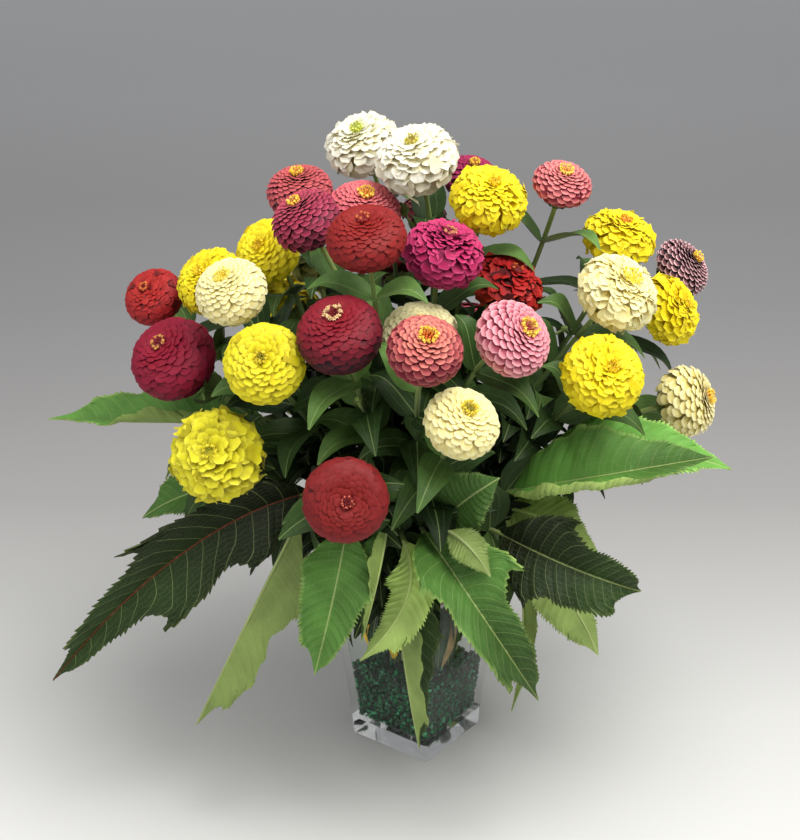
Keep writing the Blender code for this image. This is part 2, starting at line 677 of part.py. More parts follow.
def filling(bottom, top, bends=()):
    """A block that fills the cavity between two heights, each given over the cross section.

    Its walls bend where the cavity's do.
    """
    n = CHIP_CELLS
    verts, faces = [], []
    for height in (bottom, top):
        for i in range(n + 1):
            for j in range(n + 1):
                u, v = 2 * i / n - 1, 2 * j / n - 1
                verts.append(inside_point(u, v, height(u, v)))
    layer = (n + 1) ** 2

    def at(i, j):
        return i * (n + 1) + j

    for i in range(n):
        for j in range(n):
            quad = (at(i, j), at(i + 1, j), at(i + 1, j + 1), at(i, j + 1))
            faces.append(quad)
            faces.append(tuple(layer + q for q in reversed(quad)))
    rim = [at(i, 0) for i in range(n)] + [at(n, j) for j in range(n)]
    rim += [at(i, n) for i in range(n, 0, -1)] + [at(0, j) for j in range(n, 0, -1)]
    levels = [rim]
    for z in bends:
        levels.append([len(verts) + k for k in range(len(rim))])
        for k in rim:
            u, v = 2 * (k // (n + 1)) / n - 1, 2 * (k % (n + 1)) / n - 1
            verts.append(inside_point(u, v, z))
    levels.append([k + layer for k in rim])
    for low, high in zip(levels, levels[1:]):
        for k in range(len(rim)):
            m = (k + 1) % len(rim)
            faces.append((low[k], low[m], high[m], high[k]))
    return verts, faces


def post(place, radius, low, high, sides):
    foot, head = place * np.array([1, 1, 0]) + low * UP, place * np.array([1, 1, 0]) + high * UP
    return tube([foot, head], [radius, radius], sides)


# ---- building it all ------------------------------------------------------------------------------------
def plan():
    """Places every bloom, stem, leaf stalk and leaf, each clear of those placed before it."""
    blooms, sheaves, foliage = [], [], []
    for node, direction, heads in SHEAVES:
        for name, colour, middle, size, facing in heads:
            blooms.append((name, colour, np.array(middle) * CM, heading(*facing), size * CM / 2))
    large = {node: [large_leaf_rows(leaf) for leaf in leaves] for node, _, leaves in LARGE_LEAVES}

    heads = [bloom_spheres(middle, axis, radius) for _, _, middle, axis, radius in blooms]
    blades = {node: [leaf_spheres(rows) for rows, _ in grids] for node, grids in large.items()}
    solids = heads + [balls for group in blades.values() for balls in group]
    solids += [np.array([np.append(0.5 * (a + b), WALL / 2 + 1 * MM)]) for a, b in rim_pairs()]
    seats = {b[0]: b for b in blooms}
    for node, direction, members in SHEAVES:
        place = sheaf_place(direction)
        routes = []
        ends = []
        for name, *_ in members:
            _, _, middle, axis, radius = seats[name]
            ends.append(middle + (SEAT[1] * radius - GAP) * axis)
        starts = stem_starts(place, ends)
        axes = [seats[name][3] for name, *_ in members]
        for start, end, axis in zip(starts, ends, axes):
            routes.append(stem_route(start, end, axis, np.vstack(solids), STEM, STEM_ROOM))
        solids += [route_spheres(route, STEM) for route in routes]
        sheaves.append((node, place, starts, routes, axes))
    for node, direction, leaves in LARGE_LEAVES:
        routes = []
        for leaf, own in zip(leaves, blades[node]):
            routes.append(petiole_route(direction, leaf, np.vstack([s for s in solids if s is not own])))
        solids += [route_spheres(route, PETIOLE) for route in routes]
        foliage.append((node, direction, routes, large[node]))
    leafy = []
    for _, _, _, routes, _ in sheaves:
        leaves = []
        for route in routes:
            mine = route_spheres(route, STEM)
            others = np.vstack([s for s in solids if not (s.shape == mine.shape and np.allclose(s, mine))])
            found = place_small_leaves(route, others)
            leaves += found
            for rows, _ in found:
                solids.append(leaf_balls(rows))
        leafy.append(leaves)
    return blooms, sheaves, leafy, foliage


def rim_pairs():
    outer = square_ring(RIM_SIDE, RIM_HEIGHT, CORNER)
    inner = square_ring(RIM_SIDE - 2 * WALL, RIM_HEIGHT, CORNER - 1 * MM)
    return list(zip(outer, inner))


def main():
    for obj in list(bpy.data.objects):
        bpy.data.objects.remove(obj)
    green = material("stem_green", GREENS["stem"], 0.5)
    leaf_green = material("leaf_green", GREENS["leaf"], 0.5)
    petals = {name: material("petal_" + name, colour, 0.6) for name, colour in COLOURS.items()}
    glass = material("clear_glass", (0.95, 0.97, 0.96), 0.03, 1.0)
    water_clear = material("water", (0.85, 0.93, 0.88), 0.02, 1.0)
    chip_green = material("green_glass", (0.01, 0.10, 0.05), 0.15)

    blooms, sheaves, leafy, foliage = plan()
    for name, colour, middle, axis, radius in blooms:
        add_object("bloom_" + name, bloom_mesh("bloom_" + name, middle, axis, radius), petals[colour])
    for (node, place, starts, routes, axes), leaves in zip(sheaves, leafy):
        column = add_object(node, make_mesh(node, *sheaf_column(place, starts)), green)
        pieces = [stem_tube(route, axis) for route, axis in zip(routes, axes)]
        pieces += [small_leaf_solid(rows, along) for rows, along in leaves]
        add_boolean(column, "UNION", pieces, SOLVERS.get(node, "EXACT"))
    for node, _, routes, grids in foliage:
        stalks = [leaf_stalk(route, i == 0) for i, route in enumerate(routes)]
        obj = add_object(node, make_mesh(node, *stalks[0]), leaf_green)
        blades = [blade(rows, normals, LEAF_THICK) for rows, normals in grids]
        add_boolean(obj, "UNION", stalks[1:] + blades)

    add_object("vase", make_mesh("vase", *vase_solid()), glass)
    heap = filling(lambda u, v: FLOOR + GAP, chips_height, [WAIST_HEIGHT])
    chips = add_object("glass_chips", make_mesh("glass_chips", *heap), chip_green)
    pool = filling(lambda u, v: chips_height(u, v) + GAP, lambda u, v: WATER_LEVEL)
    water = add_object("water", make_mesh("water", *pool), water_clear)
    sheaf_holes = []
    for _, place, _, routes, _ in sheaves:
        radius = (sheaf_offset(len(routes)) + RIB * STEM + HOLE_ROOM)
        sheaf_holes.append(post(place, radius, SHEAF_FOOT - GAP, SHEAF_TOP, 8))
    stalk_holes = []
    for _, direction, _, _ in foliage:
        place = PETIOLE_RING * heading(direction, 0)
        stalk_holes.append(post(place, PETIOLE + HOLE_ROOM, SHEAF_FOOT, SHEAF_TOP, STEM_SIDES))
    add_boolean(chips, "DIFFERENCE", sheaf_holes)
    add_boolean(water, "DIFFERENCE", sheaf_holes + stalk_holes)


main()
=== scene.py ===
"""Looks of the zinnia bouquet: blooms of fine petals, veined leaves, round stems, glass, water and chips."""

import math

import bpy
import numpy as np
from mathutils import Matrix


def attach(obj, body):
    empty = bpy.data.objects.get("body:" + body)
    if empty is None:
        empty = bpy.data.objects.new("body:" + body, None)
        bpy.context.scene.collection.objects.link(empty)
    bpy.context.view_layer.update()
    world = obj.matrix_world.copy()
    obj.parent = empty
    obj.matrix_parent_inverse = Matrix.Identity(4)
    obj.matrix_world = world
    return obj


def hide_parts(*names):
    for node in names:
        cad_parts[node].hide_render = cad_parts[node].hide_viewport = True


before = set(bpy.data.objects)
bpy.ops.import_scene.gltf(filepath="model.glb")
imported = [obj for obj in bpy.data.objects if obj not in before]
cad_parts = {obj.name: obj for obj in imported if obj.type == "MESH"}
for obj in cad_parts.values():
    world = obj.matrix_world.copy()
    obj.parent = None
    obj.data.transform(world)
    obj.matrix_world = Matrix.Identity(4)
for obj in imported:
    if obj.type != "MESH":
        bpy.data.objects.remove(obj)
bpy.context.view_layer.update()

CM = 0.01
MM = 0.001
GAP = 0.3 * MM
UP = np.array([0.0, 0.0, 1.0])
SCENE = bpy.context.scene


# ---- camera and lights
LENS, SENSOR = 70, 36                           # mm
CAMERA_PLACE = (-0.015, -1.28512, 0.83569)
CAMERA_DOWN = 22.4                              # degrees that it looks down


def add_camera():
    data = bpy.data.cameras.new("camera")
    data.lens = LENS
    data.sensor_width = SENSOR
    obj = bpy.data.objects.new("camera", data)
    obj.location = CAMERA_PLACE
    obj.rotation_euler = (math.radians(90 - CAMERA_DOWN), 0, 0)
    SCENE.collection.objects.link(obj)
    SCENE.camera = obj


def add_light(name, place, aim, size, power, colour):
    """A round lamp that points at its aim."""
    data = bpy.data.lights.new(name, "AREA")
    data.shape = "DISK"
    data.size = size
    data.energy = power
    data.color = colour
    obj = bpy.data.objects.new(name, data)
    way = np.array(aim) - np.array(place)
    obj.location = place
    flat = math.hypot(way[0], way[1])
    obj.rotation_euler = (math.atan2(flat, -way[2]), 0, math.atan2(way[1], way[0]) - math.pi / 2)
    SCENE.collection.objects.link(obj)


add_camera()
SCENE.view_settings.view_transform = "Standard"


# ---- the design, as the CAD has it
VASE_TURN = math.radians(-82)   # direction of its front corner
FOOT_SIDE = 84 * MM
WAIST_SIDE = 88 * MM
WAIST_HEIGHT = 36 * MM
RIM_SIDE = 112 * MM
RIM_HEIGHT = 160 * MM
WALL = 5.5 * MM
FLOOR = 18 * MM
CORNER = 4 * MM
WATER_LEVEL = 143 * MM
CHIPS_EDGE = 74 * MM
CHIPS_CROWN = 14 * MM
CHIP_RELIEF = 1.6 * MM

SEAT_HEIGHT = -0.66             # of the flat foot that the stem meets, of the bloom's radius
STEM = 2.2 * MM
STEM_STEPS = 5
STEM_ROOM = 3 * MM              # that a stem keeps to what was placed before it
STEM_BOWS = (0.0, 8 * MM, 16 * MM, 24 * MM, 34 * MM, 46 * MM)    # that it tries, to find room
CUP = 2.5                       # how far a stem widens under its bloom
SHEAF_RING = 19.5 * MM
SHEAF_FOOT = 30 * MM
SHEAF_TOP = 170 * MM
STEM_SPACING = 4.9 * MM         # between the middles of two stems, side by side in a sheaf

# sheaf: node, the direction its foot stands in (None is the middle), and its blooms:
# name, colour, middle x y z (cm), diameter (cm), facing: direction and height in degrees
SHEAVES = (
    ("stems_middle", None, (
        ("white_front", "ivory", (-0.1, 2.5, 52.4), 6.8, (-115, 60)),
        ("coral_back", "coral", (-9.9, 5.5, 49.0), 5.8, (-115, 75)),
        ("crimson_pink", "rose", (-8.9, -3.5, 49.0), 5.8, (-155, 60)),
        ("salmon", "coral", (-4.5, 2.5, 48.0), 6.4, (-75, 65)),
        ("red_top", "red", (-4.0, -10.5, 49.5), 6.2, (-105, 65)),
        ("yellow_top", "yellow", (5.5, -2.0, 50.3), 6.3, (-65, 60)),
        ("magenta_back", "magenta", (4.5, 8.0, 49.5), 5.0, (-60, 70)),
    )),
    ("stems_right", 30, (
        ("orange_red", "orange_red", (7.0, -2.0, 43.0), 6.3, (-30, 60)),
        ("pink_high", "coral", (11.5, 0.0, 51.0), 5.0, (-65, 65)),
        ("yellow_upper_right", "yellow", (16.5, 1.5, 46.0), 6.1, (-45, 70)),
        ("dusty_pink", "pink", (22.4, 5.0, 42.5), 5.4, (-20, 40)),
        ("yellow_right", "yellow", (20.6, -0.5, 40.6), 5.9, (-25, 30)),
        ("cream_far_right", "cream", (22.1, -3.0, 33.5), 6.2, (-20, 20)),
    )),
    ("stems_front_right", -30, (
        ("magenta", "magenta", (1.9, -7.0, 47.3), 6.3, (-50, 70)),
        ("pink_light", "pink", (6.9, -13.0, 42.5), 6.2, (-45, 40)),
        ("cream_right", "cream", (15.4, -7.0, 44.2), 6.6, (-45, 50)),
        ("yellow_lower_right", "yellow", (14.0, -11.5, 39.0), 6.5, (-70, 40)),
    )),
    ("stems_front", -90, (
        ("cream_behind", "cream", (0.1, -9.0, 41.1), 6.4, (-90, 55)),
        ("rose", "rose", (0.3, -17.0, 43.0), 5.8, (-80, 55)),
        ("crimson", "crimson", (-6.0, -13.5, 43.0), 6.6, (-110, 60)),
        ("cream_low", "cream", (3.0, -17.5, 37.5), 5.9, (-60, 55)),
        ("red_low", "red", (-5.5, -20.0, 32.5), 6.5, (-85, 20)),
    )),
    ("stems_front_left", -150, (
        ("yellow_left", "yellow", (-11.7, -13.0, 40.5), 6.5, (-95, 35)),
        ("yellow_low_left", "yellow", (-15.6, -13.0, 33.0), 7.3, (-100, 30)),
        ("cream_left", "ivory", (-14.4, -9.0, 44.9), 5.8, (-120, 55)),
        ("crimson_left", "crimson", (-19.5, -6.5, 38.5), 7.1, (-125, 48)),
    )),
    ("stems_left", 150, (
        ("yellow_upper_left", "yellow", (-12.3, 1.5, 45.0), 5.8, (-120, 35)),
        ("yellow_behind", "yellow", (-16.8, -1.7, 43.4), 5.8, (-130, 45)),
        ("yellow_inner_left", "yellow", (-13.5, 4.0, 40.5), 5.0, (-120, 75)),
        ("lemon", "lemon", (-8.5, 5.0, 42.5), 4.4, (120, 65)),
        ("red_left", "red", (-21.9, 1.0, 41.2), 5.2, (-120, 45)),
    )),
    ("stems_back", 90, (
        ("white_back", "ivory", (-4.6, 9.3, 52.0), 6.6, (-125, 60)),
        ("pink_back", "rose", (0.5, 9.5, 46.0), 4.2, (60, 60)),
        ("back_cream", "cream", (17.2, 10.5, 38.0), 5.6, (50, 35)),
        ("back_red", "red", (-1.5, 15.0, 39.5), 6.2, (95, 40)),
        ("back_yellow", "yellow", (-11.5, 12.0, 37.0), 6.2, (130, 35)),
        ("back_rose", "rose", (5.0, 16.0, 33.0), 6.0, (80, 20)),
    )),
)

LEAF_ROWS = 12
LOBE_SHIFT = 0.12               # how far the lobes of the two sides lie apart, of a lobe
PETIOLE = 2.2 * MM
PETIOLE_ROOM = 2.5 * MM
PETIOLE_RING = 35 * MM
PETIOLE_FOOT = 92 * MM

# node, the direction its leaf stalk stands in the vase, and its leaves:
# way the upper side faces (direction, height), width (cm), fold (degrees), lobes (how many, how deep),
# then its base, middle and tip (cm)
LARGE_LEAVES = (
    ("leaf_far_left", -170, (
        ((-90, 80), 8.0, 28, (2, 0.22), (-13.0, -2.0, 31.6), (-21.5, -2.5, 31.5), (-31.2, -1.0, 31.1)),
        ((-100, 60), 6.0, 15, (2, 0.25), (-12.5, -4.5, 27.0), (-18.0, -6.5, 27.0), (-23.0, -5.5, 24.0)),
    )),
    ("leaf_low_left", -150, (
        ((-68, 5), 9.2, 26, (3, 0.46), (-9.1, -8.0, 27.5), (-19.1, -13.0, 24.3), (-29.8, -13.5, 13.2)),
    )),
    ("leaf_folded_left", -125, (
        ((6, -33), 7.2, 52, (2, 0.36), (-9.6, -10.5, 26.1), (-14.1, -14.0, 18.0), (-18.3, -13.5, 9.0)),
    )),
    ("leaf_hanging", -108, (
        ((-96, 30), 6.2, 18, (2, 0.25), (-5.7, -13.5, 26.8), (-6.7, -17.0, 22.5), (-8.2, -17.5, 16.2)),
    )),
    ("leaf_pale_centre", -92, (
        ((67, -34), 5.4, 22, (2, 0.40), (-1.2, -13.0, 25.6), (-1.0, -16.0, 22.0), (-4.7, -16.0, 16.5)),
    )),
    ("leaf_front", -78, (
        ((-24, 20), 6.4, 58, (2, 0.36), (-1.6, -10.5, 22.1), (-1.2, -14.0, 16.3), (0.1, -12.5, 6.0)),
    )),
    ("leaf_centre_right", -60, (
        ((-70, 40), 8.8, 24, (2, 0.55), (0.5, -13.0, 26.3), (4.2, -18.0, 22.7), (9.5, -17.0, 13.5)),
    )),
    ("leaf_lower_right", -42, (
        ((-104, 12), 9.1, 25, (2, 0.50), (6.4, -12.3, 26.0), (11.7, -16.4, 25.1), (17.2, -16.4, 23.0)),
        ((98, -37), 5.6, 15, (1, 0.25), (8.5, -8.0, 23.0), (12.3, -10.0, 18.9), (15.1, -9.5, 13.2)),
    )),
    ("leaf_right", -24, (
        ((-115, 60), 8.0, 28, (2, 0.10), (7.6, -8.5, 27.9), (14.4, -13.0, 31.3), (22.9, -12.0, 32.4)),
    )),
    ("leaf_back_right", 4, (
        ((-101, 58), 6.4, 15, (2, 0.15), (10.2, -3.0, 28.6), (17.0, -8.0, 31.4), (25.2, -8.5, 29.8)),
    )),
    ("leaf_behind_vase", 45, (
        ((20, 10), 5.6, 15, (2, 0.28), (7.2, 5.0, 21.0), (9.6, 1.5, 12.5), (8.6, -1.5, 2.6)),
        ((60, 50), 8.0, 15, (3, 0.44), (9.5, 9.5, 27.0), (15.5, 13.0, 28.0), (22.0, 14.5, 21.0)),
    )),
    ("leaf_back", 95, (
        ((95, 35), 9.0, 12, (3, 0.46), (-1.0, 11.0, 25.0), (-2.0, 18.0, 23.0), (-3.0, 20.0, 12.0)),
    )),
    ("leaf_back_left", 150, (
        ((140, 50), 8.0, 15, (3, 0.44), (-9.0, 6.5, 27.0), (-16.5, 9.5, 28.0), (-23.5, 11.0, 20.0)),
    )),
)

SMALL_LEAF_PLACES = (0.42, 0.60, 0.78)   # along each stem
SMALL_LEAF_LENGTHS = (60 * MM, 52 * MM, 44 * MM, 34 * MM)
SMALL_LEAVES_PER_STEM = 2
SMALL_LEAF_TURNS = 16            # directions that a leaf tries, to find room
SMALL_LEAF_ROOT = 7 * MM         # nearer than this to its root, a leaf needs no room
SMALL_LEAF_ROOM = 2.5 * MM
SMALL_LEAF_BALL = 2.5 * MM       # of the balls that stand for a small leaf


def unit(v):
    return np.asarray(v, float) / np.linalg.norm(v)


def heading(direction, height):
    """The unit vector at a compass direction and a height above level, both in degrees."""
    a, e = math.radians(direction), math.radians(height)
    return np.array([math.cos(e) * math.cos(a), math.cos(e) * math.sin(a), math.sin(e)])


def polar(r, a, z):
    """Points at a radius, an angle and a height."""
    return np.stack(np.broadcast_arrays(r * np.cos(a), r * np.sin(a), z), -1)


def frame_of(axis):
    """Two unit vectors square to an axis and to each other."""
    side = np.cross(axis, UP) if abs(axis[2]) < 0.95 else np.cross(axis, [0.0, 1.0, 0.0])
    side = unit(side)
    return side, np.cross(axis, side)


# ---- curves and clearances
def bezier(p, places):
    t = np.asarray(places, float)[:, None]
    s = 1.0 - t
    return s**3 * p[0] + 3 * s * s * t * p[1] + 3 * s * t * t * p[2] + t**3 * p[3]


def bent_line(route):
    """The corners of a stem: its curve taken in straight steps that shorten towards the bloom."""
    t = 1.0 - np.linspace(1.0, 0.0, STEM_STEPS + 1) ** 1.5
    return [bezier(route, [k])[0] for k in t]


def along_line(corners, count):
    """Points spread along a bent line, the same number on each straight."""
    points = [corners[0]]
    for a, b in zip(corners, corners[1:]):
        points += [a + (b - a) * (k + 1) / count for k in range(count)]
    return np.array(points)


def balls(points, radius):
    """Balls that stand for what is in the way: middles and radii."""
    return np.column_stack([points, np.full(len(points), radius)])


def bloom_spheres(middle, axis, radius):
    """Balls that together fill a flat round bloom."""
    side, other = frame_of(axis)
    turns = [2 * math.pi * k / 10 for k in range(10)]
    ring = [middle + 0.50 * radius * (side * math.cos(a) + other * math.sin(a)) for a in turns]
    return np.vstack([balls([middle + 0.10 * radius * axis], 0.66 * radius), balls(ring, 0.52 * radius)])


def clearance(points, radius, solids):
    """The least room between a row of balls and the balls of what is already placed."""
    apart = np.linalg.norm(points[:, None, :] - solids[None, :, :3], axis=2)
    return float((apart - solids[None, :, 3]).min() - radius)


def stem_route(start, end, arrival, solids, radius, room):
    """A bowed curve from the mouth of the vase to a seat, clear of what is already placed."""
    span = np.linalg.norm(end - start)
    leave = unit(0.55 * unit(end - start) + 0.45 * UP)
    low, high = np.minimum(start, end) - 60 * MM, np.maximum(start, end) + 60 * MM
    solids = solids[((solids[:, :3] > low) & (solids[:, :3] < high)).all(axis=1)]
    side, other = frame_of(unit(end - start))
    best = None
    for bow in STEM_BOWS:
        for k in range(12 if bow else 1):
            a = 2 * math.pi * k / 12
            shift = bow * (side * math.cos(a) + other * math.sin(a))
            for reach in (0.30, 0.20, 0.42):
                p = [start, start + 0.34 * span * leave + shift,
                     end - reach * span * arrival + 0.5 * shift, end]
                points = along_line(bent_line(p), 8)
                free = clearance(points[3:-5], radius, solids)
                if best is None or free > best[0]:
                    best = (free, p)
                if free >= room:
                    return p
    return best[1]


def sheaf_place(direction):
    if direction is None:
        return np.zeros(3)
    return SHEAF_RING * heading(direction, 0)


def sheaf_offset(count):
    """How far the stems stand from the middle of a sheaf, in a ring that just holds them all."""
    return STEM_SPACING / (2 * math.sin(math.pi / count))


def stem_starts(place, ends):
    """Where each stem leaves its sheaf: round the column, in the order that the blooms stand in."""
    count = len(ends)
    ways = [math.atan2(e[1] - place[1], e[0] - place[0]) for e in ends]
    starts = [None] * count
    order = sorted(range(count), key=lambda i: ways[i])
    for slot, i in enumerate(order):
        out = heading(360 * slot / count + math.degrees(ways[order[0]]), 0)
        starts[i] = place + sheaf_offset(count) * out + SHEAF_TOP * UP
    return starts


def small_leaf(base, out, length, along):
    """Left, rib and right points of an ovate leaf that leaves a stem and droops a little."""
    rows = []
    side = unit(np.cross(out, along))
    for t, half in ((0.0, 0.03), (0.34, 0.21), (0.70, 0.15), (1.0, 0.0)):
        rib = base + length * (t * out + 0.10 * math.sin(math.pi * t) * along - 0.22 * t * t * UP)
        lift = 0.35 * half * length * along
        rows.append((rib - half * length * side + lift, rib, rib + half * length * side + lift))
    return rows


def blade_samples(rows, along, across):
    """Points spread over a blade, with so many steps between its rows and between its edge and rib."""
    grid = np.array(rows)
    t = np.linspace(0, len(rows) - 1, (len(rows) - 1) * along + 1)
    i = np.minimum(t.astype(int), len(rows) - 2)
    f = (t - i)[:, None, None]
    lines = grid[i] * (1 - f) + grid[i + 1] * f
    g = np.linspace(0, 1, across + 1)[None, :, None]
    left = lines[:, 0:1] * (1 - g) + lines[:, 1:2] * g
    right = lines[:, 1:2] * (1 - g) + lines[:, 2:3] * g
    return np.concatenate([left, right[:, 1:]], axis=1).reshape(-1, 3)


def leaf_samples(rows):
    points = blade_samples(rows, 5, 4)
    return points[np.linalg.norm(points - rows[0][1], axis=1) > SMALL_LEAF_ROOT]


def on_line(route, place):
    """The point at a share of a stem's length, measured on its straight steps."""
    points = along_line(bent_line(route), 20)
    steps = np.linalg.norm(np.diff(points, axis=0), axis=1)
    run = np.concatenate([[0.0], np.cumsum(steps)])
    return np.array([np.interp(place * run[-1], run, points[:, k]) for k in range(3)])


def leaf_root(route, place):
    """Where a leaf leaves a stem, the stem's direction there and two directions square to it."""
    along = unit(on_line(route, place + 0.02) - on_line(route, place - 0.02))
    return on_line(route, place), along, *frame_of(along)


def place_small_leaves(route, solids):
    """Leaves on one stem, each where it has room, the longest first: its rows and the stem's direction."""
    found = []
    for place in SMALL_LEAF_PLACES:
        root, along, side, other = leaf_root(route, place)
        mine = [balls(leaf_samples(rows), SMALL_LEAF_BALL) for rows, _ in found]
        near = np.vstack([solids] + mine)
        reach = np.linalg.norm(near[:, :3] - root, axis=1) - near[:, 3]
        near = near[reach < SMALL_LEAF_LENGTHS[0] + SMALL_LEAF_ROOM]
        for length in SMALL_LEAF_LENGTHS:
            for k in range(SMALL_LEAF_TURNS):
                a = 2 * math.pi * k / SMALL_LEAF_TURNS
                out = unit(side * math.cos(a) + other * math.sin(a) + 0.7 * along)
                rows = small_leaf(root, out, length, along)
                if clearance(leaf_samples(rows), SMALL_LEAF_ROOM, near) > 0:
                    found.append((rows, (root, out, length, along)))
                    break
            else:
                continue
            break
        if len(found) == SMALL_LEAVES_PER_STEM:
            break
    return found


def spine(leaf, t):
    """Points on a leaf's midrib, through its base, middle and tip, at one place or an array of places."""
    base, middle, tip = (np.array(p) * CM for p in leaf[4:7])
    t = np.asarray(t)[..., None]
    return base * (1 - t) * (1 - 2 * t) + middle * 4 * t * (1 - t) + tip * t * (2 * t - 1)


def leaf_half_width(t, width, lobes, side, tooth):
    """Half the width at a place along the leaf, on one side (-1 or 1), with its lobes and its saw teeth."""
    count, depth = lobes
    body = math.sin(math.pi * min(1.0, t**0.75)) ** 1.1
    cut = 1.0 - depth * (0.5 + 0.5 * math.cos(2 * math.pi * (count * t + LOBE_SHIFT * side))) ** 2
    return 0.5 * width * body * cut * (1.10 if tooth else 0.92) + 0.8 * MM


def large_leaf_rows(leaf):
    facing, width, fold, lobes = leaf[:4]
    face = heading(*facing)
    fold = math.radians(fold)
    rows = []
    for j in range(LEAF_ROWS):
        t = j / (LEAF_ROWS - 1)
        along = unit(spine(leaf, min(1.0, t + 0.01)) - spine(leaf, max(0.0, t - 0.01)))
        side = unit(np.cross(along, face))
        normal = np.cross(side, along)
        wave = 0.10 * (-1) ** (j // 2)
        edges = []
        for way in (-1, 1):
            half = leaf_half_width(t, width * CM, lobes, way, j % 2 == 1)
            edges.append(half * (way * math.cos(fold) * side + (math.sin(fold) - way * wave) * normal))
        rib = spine(leaf, t)
        rows.append((rib + edges[0], rib, rib + edges[1]))
    return rows


def petiole_route(direction, leaf, solids):
    """From the leaf's place at the edge of the vase's mouth to its base, clear of what is placed."""
    start = PETIOLE_RING * heading(direction, 0) + SHEAF_TOP * UP
    base = spine(leaf, 0.03)
    arrival = unit(spine(leaf, 0.1) - spine(leaf, 0.0))
    return stem_route(start, base, arrival, solids, PETIOLE, PETIOLE_ROOM)


def leaf_spheres(rows):
    """Balls that stand for a blade when something is routed past it."""
    return balls(blade_samples(rows, 4, 5), 4 * MM)


def route_spheres(route, radius):
    return balls(along_line(bent_line(route), 14), radius)


def outer_side(z):
    """The vase is nearly straight up to its waist and flares from there to the rim."""
    if z < WAIST_HEIGHT:
        return FOOT_SIDE + (WAIST_SIDE - FOOT_SIDE) * z / WAIST_HEIGHT
    return WAIST_SIDE + (RIM_SIDE - WAIST_SIDE) * (z - WAIST_HEIGHT) / (RIM_HEIGHT - WAIST_HEIGHT)


def vase_ring(side, z, corner, steps=6):
    """Points round a square with rounded corners, turned as the vase stands."""
    middle = (side / 2 - corner) * math.sqrt(2)
    points = []
    for k in range(4):
        a = VASE_TURN + k * math.pi / 2
        for step in range(steps + 1):
            b = a + math.radians(-45 + 90 * step / steps)
            x = middle * math.cos(a) + corner * math.cos(b)
            y = middle * math.sin(a) + corner * math.sin(b)
            points.append([x, y, z])
    return points


def chips_height(u, v):
    """The heap of glass chips: higher in the middle, and rough."""
    r = math.hypot(u, v)
    rough = CHIP_RELIEF * math.sin(7.1 * u + 1.3) * math.cos(6.3 * v - 0.4)
    rough += 0.6 * CHIP_RELIEF * math.cos(11.0 * u * v + 4.0 * u)
    return CHIPS_EDGE + CHIPS_CROWN * max(0.0, 1.0 - 0.8 * r) + rough


def turned(x, y):
    """A place given along the vase's sides, as the vase stands."""
    turn = VASE_TURN + math.pi / 4
    return x * math.cos(turn) - y * math.sin(turn), x * math.sin(turn) + y * math.cos(turn)


def inside_point(u, v, z):
    """A point on the cavity's cross section, with u and v running from -1 to 1 across it."""
    half = outer_side(z) / 2 - WALL - GAP
    if abs(u) == 1 and abs(v) == 1:
        half -= 2 * MM
    return np.array([*turned(u * half, v * half), z])


def plan():
    """Places every bloom, stem, leaf stalk and leaf, each clear of those placed before it."""
    blooms, sheaves, foliage = [], [], []
    for _, _, members in SHEAVES:
        for name, colour, middle, size, facing in members:
            blooms.append((name, colour, np.array(middle) * CM, heading(*facing), size * CM / 2))
    heads = [bloom_spheres(middle, axis, radius) for _, _, middle, axis, radius in blooms]
    blades = {node: [leaf_spheres(large_leaf_rows(leaf)) for leaf in leaves]
              for node, _, leaves in LARGE_LEAVES}
    solids = heads + [blade for group in blades.values() for blade in group]
    rim = [np.array(vase_ring(side, RIM_HEIGHT, corner, 2))
           for side, corner in ((RIM_SIDE, CORNER), (RIM_SIDE - 2 * WALL, CORNER - 1 * MM))]
    solids += [balls([p], WALL / 2 + 1 * MM) for p in 0.5 * (rim[0] + rim[1])]
    seats = {b[0]: b for b in blooms}
    for node, direction, members in SHEAVES:
        place = sheaf_place(direction)
        ends, axes = [], []
        for name, *_ in members:
            _, _, middle, axis, radius = seats[name]
            ends.append(middle + (SEAT_HEIGHT * radius - GAP) * axis)
            axes.append(axis)
        starts = stem_starts(place, ends)
        routes = [stem_route(start, end, axis, np.vstack(solids), STEM, STEM_ROOM)
                  for start, end, axis in zip(starts, ends, axes)]
        solids += [route_spheres(route, STEM) for route in routes]
        sheaves.append((node, starts, routes, axes))
    for node, direction, leaves in LARGE_LEAVES:
        routes = [petiole_route(direction, leaf, np.vstack([s for s in solids if s is not own]))
                  for leaf, own in zip(leaves, blades[node])]
        solids += [route_spheres(route, PETIOLE) for route in routes]
        foliage.append((node, leaves, routes))
    leafy = []
    for _, _, routes, _ in sheaves:
        leaves = []
        for route in routes:
            mine = route_spheres(route, STEM)
            others = np.vstack([s for s in solids if not (s.shape == mine.shape and np.allclose(s, mine))])
            found = place_small_leaves(route, others)
            leaves += [way for _, way in found]
            solids += [balls(leaf_samples(rows), SMALL_LEAF_BALL) for rows, _ in found]
        leafy.append(leaves)
    return blooms, sheaves, leafy, foliage, solids


# ---- fine meshes
def linear(r, g, b):
    """A display colour, 0 to 255, as the renderer counts it."""
    c = np.array([r, g, b]) / 255.0
    return np.where(c < 0.04045, c / 12.92, ((c + 0.055) / 1.055) ** 2.4)


def ramp(x, low, high):
    """0 below low, 1 above high, and smooth between."""
    x = np.clip((x - low) / (high - low), 0, 1)
    return x * x * (3 - 2 * x)


def cells(grid):
    """Four-cornered faces over a grid of vertex numbers."""
    return np.stack([grid[:-1, :-1], grid[:-1, 1:], grid[1:, 1:], grid[1:, :-1]], -1).reshape(-1, 4)


